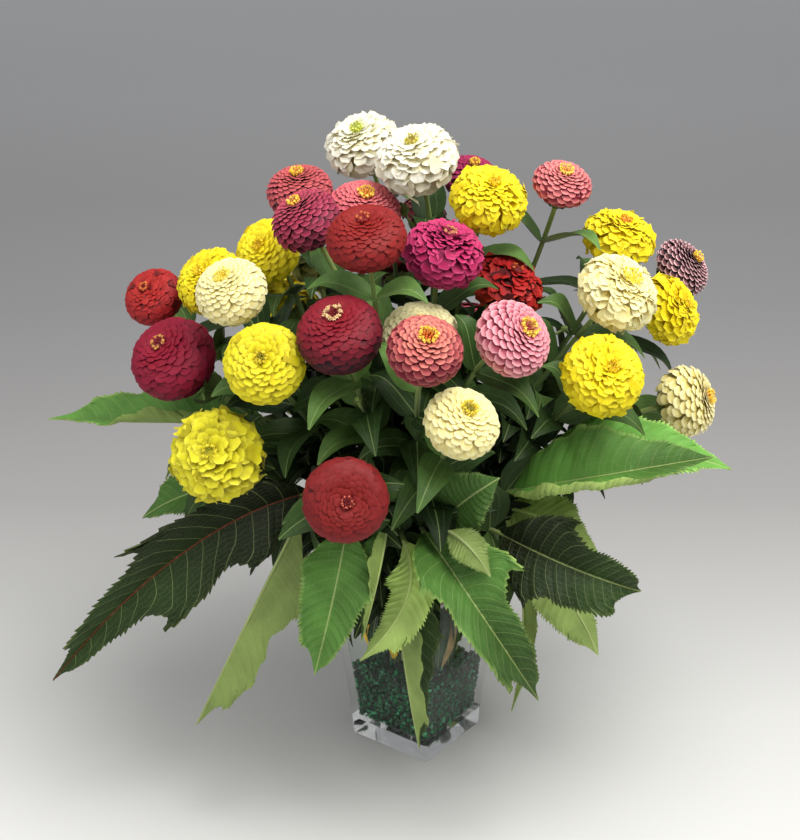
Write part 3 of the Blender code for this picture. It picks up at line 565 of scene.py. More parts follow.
def ring_faces(count, sides):
    """Four-cornered faces between closed rings of vertices, and each face's ring and side."""
    i, k = np.meshgrid(np.arange(count - 1), np.arange(sides), indexing="ij")
    m = (k + 1) % sides
    faces = np.stack([i * sides + k, i * sides + m, (i + 1) * sides + m, (i + 1) * sides + k], -1)
    return faces.reshape(-1, 4), i, k


def fan(ring, sides, hub):
    """Triangles from one ring of vertices to a hub."""
    k = np.arange(sides)
    return np.stack([ring * sides + k, ring * sides + (k + 1) % sides, np.full(sides, hub)], -1)


class Skin:
    """Collects one piece's faces, with a colour and a place on the blade at each face corner."""

    def __init__(self):
        self.verts, self.faces, self.tints, self.places, self.slots = [], [], [], [], []
        self.count = 0

    def add(self, verts, faces, tints, places=None, slot=0):
        """verts (n, 3); faces (m, k); tints (3,) or (m, k, 3); places (m, k, 2)."""
        self.start = self.count
        self.verts.append(np.asarray(verts, dtype=float).reshape(-1, 3))
        self.count += len(self.verts[-1])
        self.more(faces, tints, places, slot)

    def more(self, faces, tints, places=None, slot=0):
        """More faces over the vertices that the last add brought."""
        faces = np.asarray(faces)
        self.faces.append(faces + self.start)
        self.tints.append(np.broadcast_to(tints, (*faces.shape, 3)))
        self.places.append(np.zeros((*faces.shape, 2)) if places is None else places)
        self.slots.append(np.full(len(faces), slot))

    def blades(self, points, thick, upper, under, places, slot=0):
        """Closed thin blades from grids of points (b, r, c, 3): two skins that share their rim."""
        b, r, c = points.shape[:3]
        normal = np.cross(np.gradient(points, axis=2), np.gradient(points, axis=1))
        normal /= np.linalg.norm(normal, axis=-1, keepdims=True) + 1e-12
        inner = points[:, 1:-1, 1:-1] - 0.5 * thick * normal[:, 1:-1, 1:-1]
        outer = points.copy()
        outer[:, 1:-1, 1:-1] += 0.5 * thick * normal[:, 1:-1, 1:-1]
        verts = np.concatenate([outer.reshape(b, -1, 3), inner.reshape(b, -1, 3)], axis=1)
        front = np.arange(r * c).reshape(r, c)
        back = front.copy()
        back[1:-1, 1:-1] = r * c + np.arange((r - 2) * (c - 2)).reshape(r - 2, c - 2)

        step = np.arange(b)[:, None, None] * verts.shape[1]
        here = cells(front)
        upper, under, places = (
            np.broadcast_to(value, (b, r, c, k)).reshape(b, -1, k)[:, here].reshape(-1, 4, k)
            for value, k in ((upper, 3), (under, 3), (places, 2)))
        faces = np.concatenate([(side + step).reshape(-1, 4) for side in (here, cells(back)[:, ::-1])])
        self.add(verts, faces, np.concatenate([upper, under[:, ::-1]]),
                 np.concatenate([places, places[:, ::-1]]), slot)

    def tube(self, points, radii, sides, tint, slot=0):
        """A closed round tube along a row of points; tint (3,) or one colour for each point."""
        points, radii = np.asarray(points), np.asarray(radii)
        along = np.gradient(points, axis=0)
        along /= np.linalg.norm(along, axis=1, keepdims=True)
        side = frame_of(along[0])[0]
        rings = []
        for p, r, a in zip(points, radii, along):
            side = unit(side - a * np.dot(side, a))
            other = np.cross(a, side)
            turn = 2 * math.pi * np.arange(sides)[:, None] / sides
            rings.append(p + r * (side * np.cos(turn) + other * np.sin(turn)))
        n = len(points)
        verts = np.vstack(rings + [points[:1], points[-1:]])
        tints = np.broadcast_to(tint, (n, 3))
        faces, i, k = ring_faces(n, sides)
        colours = np.stack([tints[i], tints[i], tints[i + 1], tints[i + 1]], -2).reshape(-1, 4, 3)
        run = np.concatenate([[0], np.cumsum(np.linalg.norm(np.diff(points, axis=0), axis=1))])
        corners = ((k, i), (k + 1, i), (k + 1, i + 1), (k, i + 1))
        places = np.stack([np.stack([q / sides, run[j] / CM], -1) for q, j in corners], -2)
        self.add(verts, faces, colours, places.reshape(-1, 4, 2), slot)
        ends = np.concatenate([fan(0, sides, n * sides)[:, [1, 0, 2]], fan(n - 1, sides, n * sides + 1)])
        self.more(ends, np.repeat(tints[[0, -1]], sides, axis=0)[:, None], slot=slot)

    def build(self, name, materials, sharp=70, smooth=True):
        mesh = bpy.data.meshes.new(name)
        verts = np.vstack(self.verts)
        sizes = np.concatenate([np.full(len(f), f.shape[1]) for f in self.faces])
        loops = np.concatenate([f.ravel() for f in self.faces])
        mesh.vertices.add(len(verts))
        mesh.vertices.foreach_set("co", verts.ravel())
        mesh.loops.add(len(loops))
        mesh.loops.foreach_set("vertex_index", loops)
        mesh.polygons.add(len(sizes))
        mesh.polygons.foreach_set("loop_start", np.concatenate([[0], np.cumsum(sizes)[:-1]]))
        mesh.polygons.foreach_set("material_index", np.concatenate(self.slots))
        tints = np.vstack([t.reshape(-1, 3) for t in self.tints])
        layer = mesh.color_attributes.new(name="tint", type="FLOAT_COLOR", domain="CORNER")
        layer.data.foreach_set("color", np.hstack([np.clip(tints, 0, 1), np.ones((len(tints), 1))]).ravel())
        mesh.uv_layers.new(name="place").data.foreach_set(
            "uv", np.vstack([p.reshape(-1, 2) for p in self.places]).ravel())
        mesh.update(calc_edges=True)
        mesh.validate()
        for mat in materials:
            mesh.materials.append(mat)
        if smooth:
            mesh.shade_smooth()
            mesh.set_sharp_from_angle(angle=math.radians(sharp))
        obj = bpy.data.objects.new(name, mesh)
        SCENE.collection.objects.link(obj)
        return obj


def finish_piece(obj, slot, *nodes):
    """Hides the CAD parts that the piece stands for and hangs it on the root; slot is not used."""
    if nodes:
        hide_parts(*nodes)
    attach(obj, "root")


# ---- materials
class Nodes:
    """Short names for what a material's node tree needs."""

    def __init__(self, name):
        self.mat = bpy.data.materials.new(name)
        self.mat.use_nodes = True
        self.tree = self.mat.node_tree
        self.shader = self.tree.nodes["Principled BSDF"]

    def node(self, kind, inputs=(), **settings):
        node = self.tree.nodes.new("ShaderNode" + kind)
        for key, value in settings.items():
            setattr(node, key, value)
        for key, value in dict(inputs).items():
            self.put(value, node.inputs[key])
        return node

    def put(self, value, socket):
        if hasattr(value, "is_output"):
            self.tree.links.new(value, socket)
        else:
            socket.default_value = value

    def math(self, operation, a, b=0.0):
        return self.node("Math", {0: a, 1: b}, operation=operation).outputs[0]

    def mix(self, factor, a, b, blend="MIX"):
        node = self.node("Mix", {0: factor}, data_type="RGBA", blend_type=blend)
        for socket, value in ((node.inputs[6], a), (node.inputs[7], b)):
            self.put((*value, 1) if isinstance(value, (tuple, np.ndarray)) else value, socket)
        return node.outputs[2]

    def spread(self, value, low, high, to_low=0.0, to_high=1.0):
        return self.node("MapRange", {0: value, 1: low, 2: high, 3: to_low, 4: to_high},
                         interpolation_type="SMOOTHSTEP").outputs[0]

    def noise(self, scale, detail=2.0):
        where = self.node("TexCoord").outputs["Object"]
        return self.node("TexNoise", {"Scale": scale, "Detail": detail, "Vector": where}).outputs[0]

    def bump(self, height, strength, distance):
        bump = self.node("Bump", {"Strength": strength, "Distance": distance, "Height": height})
        self.put(bump.outputs[0], self.shader.inputs["Normal"])

    def places(self):
        """Where on its blade or stem a point lies: across and along."""
        return self.node("SeparateXYZ", {0: self.node("UVMap", uv_map="place").outputs[0]}).outputs[:2]

    def stretched(self, across, along, detail):
        """Noise that is drawn out along a blade or a stem."""
        where = self.node("CombineXYZ", {0: across, 1: along}).outputs[0]
        return self.node("TexNoise", {"Vector": where, "Scale": 1.0, "Detail": detail}).outputs[0]

    def tinted(self, shade):
        """The piece's own colours, darkened and paled by a shade."""
        tint = self.node("Attribute", attribute_name="tint").outputs["Color"]
        grey = self.node("CombineColor", {0: shade, 1: shade, 2: shade}).outputs[0]
        return self.mix(1.0, tint, grey, "MULTIPLY")

    def set(self, **values):
        for key, value in values.items():
            self.put(value, self.shader.inputs[key.replace("_", " ")])
        return self


def petal_material(name, sheen, sheen_tint, glow):
    n = Nodes(name)
    across, along = n.places()
    # fine lines run the length of each petal, and its colour is a little uneven
    lines = n.stretched(n.math("MULTIPLY", across, 16.0), along, 1.0)
    patches = n.noise(220.0)
    shade = n.math("ADD", n.spread(lines, 0.3, 0.7, -0.05, 0.05), n.spread(patches, 0.3, 0.7, 0.93, 1.05))
    n.set(Base_Color=n.tinted(shade), Roughness=0.62, Sheen_Weight=sheen, Sheen_Roughness=0.4,
          Sheen_Tint=(*sheen_tint, 1), Specular_IOR_Level=0.3, Subsurface_Weight=glow,
          Subsurface_Scale=0.004, Subsurface_Radius=(1.0, 0.92, 0.75))
    n.bump(n.math("ADD", lines, n.math("MULTIPLY", patches, 0.5)), 0.25, 0.0004)
    return n.mat


def floret_material():
    n = Nodes("florets")
    grain = n.noise(900.0)
    n.set(Base_Color=n.tinted(n.spread(grain, 0.3, 0.7, 0.85, 1.1)), Roughness=0.6)
    n.bump(grain, 0.2, 0.0003)
    return n.mat


def green_material(name, roughness, vein_strength, rib_width, vein_colour, mottle, rib_colour=None,
                   ladder=0.0):
    """A leaf's skin, with side veins where the place's second number passes a whole number and a half."""
    n = Nodes(name)
    across, along = n.places()
    across = n.math("ABSOLUTE", across)

    def lines(value, wander, scale, low, high):
        """1 on lines that wander about every whole number and a half of a value."""
        wobble = n.math("MULTIPLY", n.math("SUBTRACT", n.noise(scale), 0.5), wander)
        off = n.math("ABSOLUTE", n.math("SUBTRACT", n.math("FRACT", n.math("ADD", value, wobble)), 0.5))
        return n.math("SUBTRACT", 1.0, n.spread(off, low, high))

    side_vein = lines(along, 0.12, 90.0, 0.008, 0.034)
    rungs = n.math("MULTIPLY", lines(n.math("MULTIPLY", across, 2.6), 1.6, 110.0, 0.02, 0.10), ladder)
    rib = n.math("SUBTRACT", 1.0, n.spread(across, rib_width * 0.6, rib_width * 1.3))
    net = n.node("TexVoronoi", {"Vector": n.node("TexCoord").outputs["Object"], "Scale": 420.0},
                 feature="DISTANCE_TO_EDGE").outputs["Distance"]
    mesh_vein = n.math("SUBTRACT", 1.0, n.spread(net, 0.0, 0.10))
    fine = n.math("MAXIMUM", rungs, n.math("MULTIPLY", mesh_vein, 0.16))
    veins = n.math("MULTIPLY", n.math("MAXIMUM", side_vein, fine), vein_strength)
    base = n.tinted(n.spread(n.noise(mottle, 3.0), 0.3, 0.7, 0.78, 1.18))
    colour = n.mix(veins, base, n.mix(0.30, base, vein_colour))
    colour = n.mix(rib, colour, n.mix(0.5, base, vein_colour if rib_colour is None else rib_colour))
    n.set(Base_Color=colour, Roughness=roughness, Specular_IOR_Level=0.2)
    sunk = n.math("MULTIPLY", n.math("MAXIMUM", veins, rib), -1.0)
    quilt = n.math("ADD", sunk, n.math("MULTIPLY", n.noise(260.0, 3.0), 0.6))
    n.bump(quilt, 0.5, 0.0008)
    return n.mat


def stem_material():
    n = Nodes("stem_skin")
    round_it, along = n.places()
    ribs = n.stretched(n.math("MULTIPLY", round_it, 14.0), n.math("MULTIPLY", along, 0.4), 2.0)
    hairs = n.noise(1400.0)
    n.set(Base_Color=n.tinted(n.spread(ribs, 0.3, 0.7, 0.82, 1.15)), Roughness=0.55, Sheen_Weight=0.15)
    n.bump(n.math("ADD", ribs, n.math("MULTIPLY", hairs, 0.6)), 0.3, 0.0004)
    return n.mat


# ---- the blooms
GOLDEN = math.pi * (3 - math.sqrt(5))
BLOOM_MIDDLE = 0.03             # height of a bloom's widest petals, of its radius
# how thick the fine blades are (m)
PETAL_THICK, BRACT_THICK, SCALE_THICK = 0.0003, 0.0006, 0.0005
SMALL_LEAF_THICK, LARGE_LEAF_THICK, SUNKEN_THICK = 0.0006, 0.0009, 0.0005


def bloom_profile(look, steps=400):
    """Places down the outside of a bloom, from its eye to its lowest petals: radius and height."""
    theta = np.radians(np.linspace(look["from"], look["to"], steps))
    r = np.sin(theta) ** look["round"]
    z = BLOOM_MIDDLE + np.where(theta < math.pi / 2, look["rise"], look["drop"]) * np.cos(theta)
    return r, z


def petal_grid(look, rng):
    """Petals on a golden-angle spiral, for a bloom of radius 1: points (n, rows, columns, 3), depths (n,)
    from 0 at the eye to 1 at the foot, and the rows and columns themselves."""
    count = look["petals"]
    r, z = bloom_profile(look)
    s = np.linspace(0, 1, len(r))
    relative = look["small"] + (1 - look["small"]) * ramp(s, -0.1, 0.75)
    run = np.hypot(np.gradient(r), np.gradient(z))
    share = np.cumsum(r * run / relative**2)
    area = 2 * math.pi * share[-1]
    share = (share - share[0]) / (share[-1] - share[0])
    k = np.arange(count)
    u = np.interp((k + 0.5) / count, share, s)
    width = np.interp(u, s, relative) * math.sqrt(area / (count * look["show"]))
    width = width * (1 + look["uneven"] * rng.uniform(-1, 1, count))
    tip_r, tip_z = np.interp(u, s, r), np.interp(u, s, z)
    t = np.stack([np.interp(u, s, np.gradient(r) / run), np.interp(u, s, np.gradient(z) / run)], -1)
    t /= np.linalg.norm(t, axis=1, keepdims=True)
    n = np.stack([-t[:, 1], t[:, 0]], -1)
    turn = GOLDEN * k + look["uneven"] * 0.5 * rng.uniform(-1, 1, count)

    rows = np.array([0.0, 0.35, 0.65, 0.87, 1.0])
    v = np.array([-1.0, -0.6, 0.0, 0.6, 1.0])
    fine = np.linspace(0, 1, 25)
    lean = look["wild"] * rng.normal(0, 1, count)[:, None]
    bend = (look["tip_lift"] - look["root_lift"]) * fine[None, :] ** look["bend"]
    lift = np.radians(look["root_lift"] + bend + lean)
    way = np.stack([np.cos(lift), np.sin(lift)], -1)
    line = np.cumsum(way, axis=1) / len(fine)
    line -= line[:, -1:]
    length = look["length"] * (0.75 + 0.25 * u) * (1 + 0.5 * look["uneven"] * rng.uniform(-1, 1, count))
    at = np.searchsorted(fine, rows - 1e-9)
    along, high = way[:, at], line[:, at] * length[:, None, None]
    tip = np.stack([tip_r, tip_z], -1) * (1 - look["uneven"] * 0.12 * rng.uniform(0, 1, count))[:, None]

    def meridian(local):
        """From lengths along the tangent and the normal to radius and height."""
        return local[..., :1] * t[:, None] + local[..., 1:] * n[:, None]

    middle = tip[:, None] + meridian(high)
    d = meridian(along)
    b = meridian(np.stack([-along[..., 1], along[..., 0]], -1))
    w = width[:, None]
    half = 0.5 * w * (look["base"] + (1 - look["base"]) * ramp(rows, 0.0, look["shoulder"]))[None, :]
    back = -0.5 * w * look["blunt"] * rows**3
    phase = rng.uniform(0, 2 * math.pi, count)[:, None, None]
    vv, rr = v[None, None, :], rows[None, :, None]
    shift = back[:, :, None] * (1 - np.sqrt(1 - 0.99 * vv**2))
    shift = shift - look["notch"] * w[:, :, None] * rr**4 * np.exp(-(vv / 0.35) ** 2)
    rise = look["cup"] * w[:, :, None] * vv**2 * ramp(rr, 0.0, 0.8)
    rise = rise + look["curl"] * w[:, :, None] * rr**4
    rise = rise + look["ruffle"] * w[:, :, None] * np.sin(math.pi * 1.6 * vv + phase) * rr**2
    rise = rise + look["twist"] * w[:, :, None] * vv * rng.normal(0, 1, count)[:, None, None]
    flat = middle[:, :, None] + shift[..., None] * d[:, :, None] + rise[..., None] * b[:, :, None]
    out = polar(1.0, turn, 0.0)[:, None, None]
    side = np.cross(out, UP)
    points = flat[..., :1] * out + flat[..., 1:] * UP + (vv * half[:, :, None])[..., None] * side
    return points, u, rows, v


def petal_tints(look, u, rows, v, rng):
    """Upper and under colours of the petals, from the colours of the bloom's top, middle and foot."""
    top, mid, low = (linear(*look[key]) for key in ("top", "mid", "low"))
    u = np.clip(u + 0.06 * rng.normal(0, 1, len(u)), 0, 1)[:, None]
    base = top * (1 - ramp(u, 0.0, 0.45)) + mid * ramp(u, 0.0, 0.45)
    # towards the bloom's foot the colour goes to the foot colour: partly the petals' own colour, partly painted
    # shade on the bloom's lower side
    base = base * (1 - ramp(u, *look["fade"])) + low * ramp(u, *look["fade"])
    base = base * (1 + look["shade"] * rng.uniform(-1, 1, (len(u), 1)))
    deep, edge, under = linear(*look["deep"]), linear(*look["edge"]), linear(*look["under"])
    rr, vv = rows[None, :, None, None], np.abs(v)[None, None, :, None]
    colour = base[:, None, None] * np.ones((1, len(rows), len(v), 1))
    rim = look["rim"] * np.maximum(ramp(rr, 0.8, 1.0), ramp(vv, 0.75, 1.0) * ramp(rr, 0.2, 0.7))
    colour = colour + (edge - colour) * rim
    # painted shade: each petal darkens towards its root, to the root colour, where it lies under the petals
    # over it
    root = 1 - ramp(rr, *look["root"])
    upper = colour + (deep - colour) * root
    beneath = 0.45 * colour + 0.55 * under
    beneath = beneath + (deep - beneath) * root
    return upper, beneath


def put_in_place(points, middle, axis, radius):
    side, other = frame_of(axis)
    return middle + radius * (points[..., :1] * side + points[..., 1:2] * other + points[..., 2:] * axis)


def add_core(skin, look, place):
    """The full heart of the bloom that the petals grow from."""
    theta = np.linspace(0, math.pi, 9)[1:-1]
    r = look["core"] * np.sin(theta) ** 0.8
    z = BLOOM_MIDDLE + np.where(theta < math.pi / 2, 0.60, 0.66) * np.cos(theta) * 0.92
    sides, count = 18, len(r)
    turn = 2 * math.pi * np.arange(sides) / sides
    rings = polar(r[:, None], turn, z[:, None])
    ends = np.array([[0, 0, z[0] + 0.03], [0, 0, z[-1] - 0.03]])
    # painted shade: the core takes the petals' root colour, so the gaps between petals show dark
    tint = linear(*look["deep"])
    quads = np.roll(ring_faces(count, sides)[0][:, ::-1], 1, axis=1)
    skin.add(place(np.vstack([rings.reshape(-1, 3), ends])), quads, tint)
    skin.more(fan(0, sides, count * sides), tint)
    skin.more(fan(count - 1, sides, count * sides + 1)[:, [1, 0, 2]], tint)


def round_ways(ways, count, reach=1.0):
    """Unit vectors, and rings of so many vectors square to each."""
    ways = ways / np.linalg.norm(ways, axis=1, keepdims=True)
    side = np.cross(ways, np.array([0.31, 0.95, 0.05]))
    side /= np.linalg.norm(side, axis=1, keepdims=True)
    other = np.cross(ways, side)
    turn = 2 * math.pi * np.arange(count) / count
    across, down = ((wave(turn) * reach)[None, :, None] for wave in (np.cos, np.sin))
    return ways[:, None], side[:, None] * across + other[:, None] * down


def add_spikes(skin, places, ways, radius, height, tint, place):
    """Small closed buds: prisms with a pointed head, stood on places along ways."""
    n, sides, slot = len(places), 6, 1
    up, ring = round_ways(ways, sides)
    root = places[:, None]
    shoulder = root + radius * ring + 0.7 * height * up
    verts = np.concatenate([root + 0.8 * radius * ring, shoulder, root + height * up, root], 1)
    k = np.arange(sides)
    m = (k + 1) % sides
    step = np.arange(n)[:, None, None] * (2 * sides + 2)
    tones = np.repeat(np.broadcast_to(tint, (n, 3)), sides, axis=0)[:, None]
    walls = np.stack([k, m, sides + m, sides + k], -1) + step
    skin.add(place(verts.reshape(-1, 3)), walls.reshape(-1, 4), tones, slot=slot)
    for caps in (fan(1, sides, 2 * sides), fan(0, sides, 2 * sides + 1)[:, [1, 0, 2]]):
        skin.more((caps + step).reshape(-1, 3), tones, slot=slot)


def add_stars(skin, places, ways, size, tint, heart, place):
    """Open florets: five-pointed stars on a short tube."""
    n, points, slot = len(places), 10, 1
    is_tip = np.arange(points) % 2 == 0
    up, ring = round_ways(ways, points, np.where(is_tip, 1.0, 0.42))
    root = places[:, None]
    tips = root + size * ring + size * np.where(is_tip, 0.25, 0.0)[None, :, None] * up
    verts = np.concatenate([tips, root - 0.25 * size * up, root - 1.6 * size * up], 1)
    step = np.arange(n)[:, None, None] * (points + 2)
    pale, dark = (np.repeat(np.broadcast_to(c, (n, 3)), points, axis=0) for c in (tint, heart))
    tones = np.stack([pale, pale, dark], 1)
    front, back = fan(0, points, points), fan(0, points, points + 1)[:, [1, 0, 2]]
    faces = np.concatenate([(part + step).reshape(-1, 3) for part in (front, back)])
    skin.add(place(verts.reshape(-1, 3)), faces, np.concatenate([tones, tones]), slot=slot)


def add_eye(skin, look, place, rng):
    """The disc: closed buds in the middle and a ring of open florets round them."""
    k = np.arange(look["buds"])
    r = look["eye"] * 0.80 * np.sqrt((k + 0.5) / look["buds"])
    a = GOLDEN * k
    high = look["eye_height"] - look["pit"] * np.exp(-(r / (0.45 * look["eye"])) ** 2)
    spots = polar(r, a, high - 0.12)
    ways = polar(0.9 * r, a, 0.35)
    inner, outer = linear(*look["eye_in"]), linear(*look["eye_out"])
    mix = ramp(r / look["eye"], 0.35, 0.8)[:, None]
    add_spikes(skin, spots, ways, 0.030, 0.13, inner * (1 - mix) + outer * mix, place)
    if look["stars"]:
        n = look["stars"]
        a = 2 * math.pi * (np.arange(n) + 0.35 * rng.uniform(-1, 1, n)) / n
        r = look["eye"] * (0.88 + 0.16 * rng.uniform(-1, 1, n))
        spots = polar(r, a, look["eye_height"] + 0.04 + 0.03 * rng.uniform(-1, 1, n))
        ways = polar(0.8, a, 0.8) + 0.25 * rng.normal(0, 1, (n, 3))
        add_stars(skin, spots, ways, look["star"], linear(*look["star_tint"]), outer, place)


def scale_ring(count, turn, reach, height, bulge, half):
    """A ring of pointed scales round an upright axis: points (scales, rows, columns, 3)."""
    a = 2 * math.pi * (np.arange(count) + turn) / count
    v = np.array([-1.0, 0.0, 1.0])
    out = polar(1.0, a, 0.0)[:, None, None]
    side = np.cross(UP, out)
    points = (reach[None, :, None, None] + bulge * (1 - v**2)[None, None, :, None]) * out
    points = points + height[None, :, None, None] * UP
    return points + (v[None, None, :] * half[None, :, None])[..., None] * side


def add_bracts(skin, place):
    """The green cup under the petals: three rows of overlapping scales."""
    green, tip = linear(112, 132, 62), linear(60, 62, 30)
    rows = np.array([0.0, 0.5, 0.85, 1.0])
    half = np.array([0.075, 0.105, 0.08, 0.03])
    tint = green + (tip - green) * ramp(rows, 0.8, 1.0)[:, None, None]
    for row, (z, r, lift) in enumerate(((-0.46, 0.46, 38), (-0.54, 0.38, 50), (-0.63, 0.28, 62))):
        reach, up = 0.24 * rows, math.radians(lift)
        points = scale_ring(12, 0.5 * row, r - 0.16 + reach * math.sin(up) + 0.10,
                            z - 0.10 + reach * math.cos(up), 0.03, half)
        skin.blades(place(points), BRACT_THICK, tint, tint, np.zeros(2), 2)


def make_bloom(name, middle, axis, radius, look, mats):
    rng = np.random.default_rng(sum(ord(c) * (i + 1) for i, c in enumerate(name)))
    skin = Skin()

    def place(points):
        return put_in_place(points, middle, axis, radius)

    points, u, rows, v = petal_grid(look, rng)
    upper, under = petal_tints(look, u, rows, v, rng)
    across, along = np.meshgrid(0.5 + 0.5 * v, rows)
    skin.blades(place(points), PETAL_THICK, upper, under, np.stack([across, along], -1))
    add_core(skin, look, place)
    add_eye(skin, look, place, rng)
    add_bracts(skin, place)
    return skin.build("petals_of_" + name, mats)


# forms of bloom, in shares of its radius and in degrees: where its petals begin and end ("from", "to"), how
# high and how deep it is ("rise", "drop"), how its petals lift at root and tip, how wild, cupped, curled,
# ruffled, twisted, blunt and notched they are, how far the colours of a petal's root (painted shade) and rim
# and of the bloom's foot ("fade"; partly the petals' own colour, partly painted shade on the bloom's lower
# side) reach, and its eye
SCALES = {
    "petals": 190, "from": 13, "to": 142, "round": 0.82, "rise": 0.68, "drop": 0.66, "small": 0.55,
    "show": 0.62, "uneven": 0.13, "root_lift": 62, "tip_lift": 24, "bend": 1.0, "wild": 5.0,
    "length": 0.50, "base": 0.45,
    "shoulder": 0.6, "blunt": 0.9, "notch": 0.03, "cup": -0.06, "curl": 0.0, "ruffle": 0.015, "twist": 0.03,
    "core": 0.74, "shade": 0.08, "rim": 0.5, "root": (0.45, 0.85), "fade": (0.5, 0.95),
    "buds": 26, "eye": 0.19, "eye_height": 0.73, "pit": 0.03, "stars": 14, "star": 0.048,
    "eye_in": (176, 84, 40), "eye_out": (235, 195, 60), "star_tint": (250, 215, 70),
}
RUFFLED = {**SCALES, "petals": 165, "uneven": 0.24, "tip_lift": 27, "root_lift": 58, "wild": 10,
           "cup": 0.08, "ruffle": 0.06, "twist": 0.09, "notch": 0.08, "show": 0.47, "rim": 0.3,
           "root": (0.3, 0.75), "curl": 0.04, "stars": 8, "eye": 0.16, "eye_height": 0.70}
VELVET = {**SCALES, "petals": 230, "uneven": 0.16, "tip_lift": 17, "cup": -0.03, "ruffle": 0.03,
          "wild": 4, "rim": 0.2, "show": 0.42, "root": (0.2, 0.6), "length": 0.55, "core": 0.82}
STRAP = {**SCALES, "petals": 150, "uneven": 0.18, "tip_lift": 30, "root_lift": 58, "length": 0.62,
         "wild": 7, "eye_height": 0.70, "show": 0.64, "blunt": 0.8, "notch": 0.07, "cup": -0.05,
         "ruffle": 0.03, "stars": 8, "eye": 0.16}
ROUND = {"rise": 0.72, "drop": 0.80, "to": 148}     # a bloom whose lower petals hang down into a ball

# a look's display colours in order: the bloom's top, middle and foot, then a petal's root (painted shade where
# petals sink between each other), rim and under side; and for its eye, the middle, the edge and the stars
PETAL_COLOURS = ("top", "mid", "low", "deep", "edge", "under")
EYE_COLOURS = ("eye_in", "eye_out", "star_tint")


def look(base, *colours, eye_colours=(), **more):
    return {**base, **dict(zip(PETAL_COLOURS, colours)), **dict(zip(EYE_COLOURS, eye_colours)), **more}


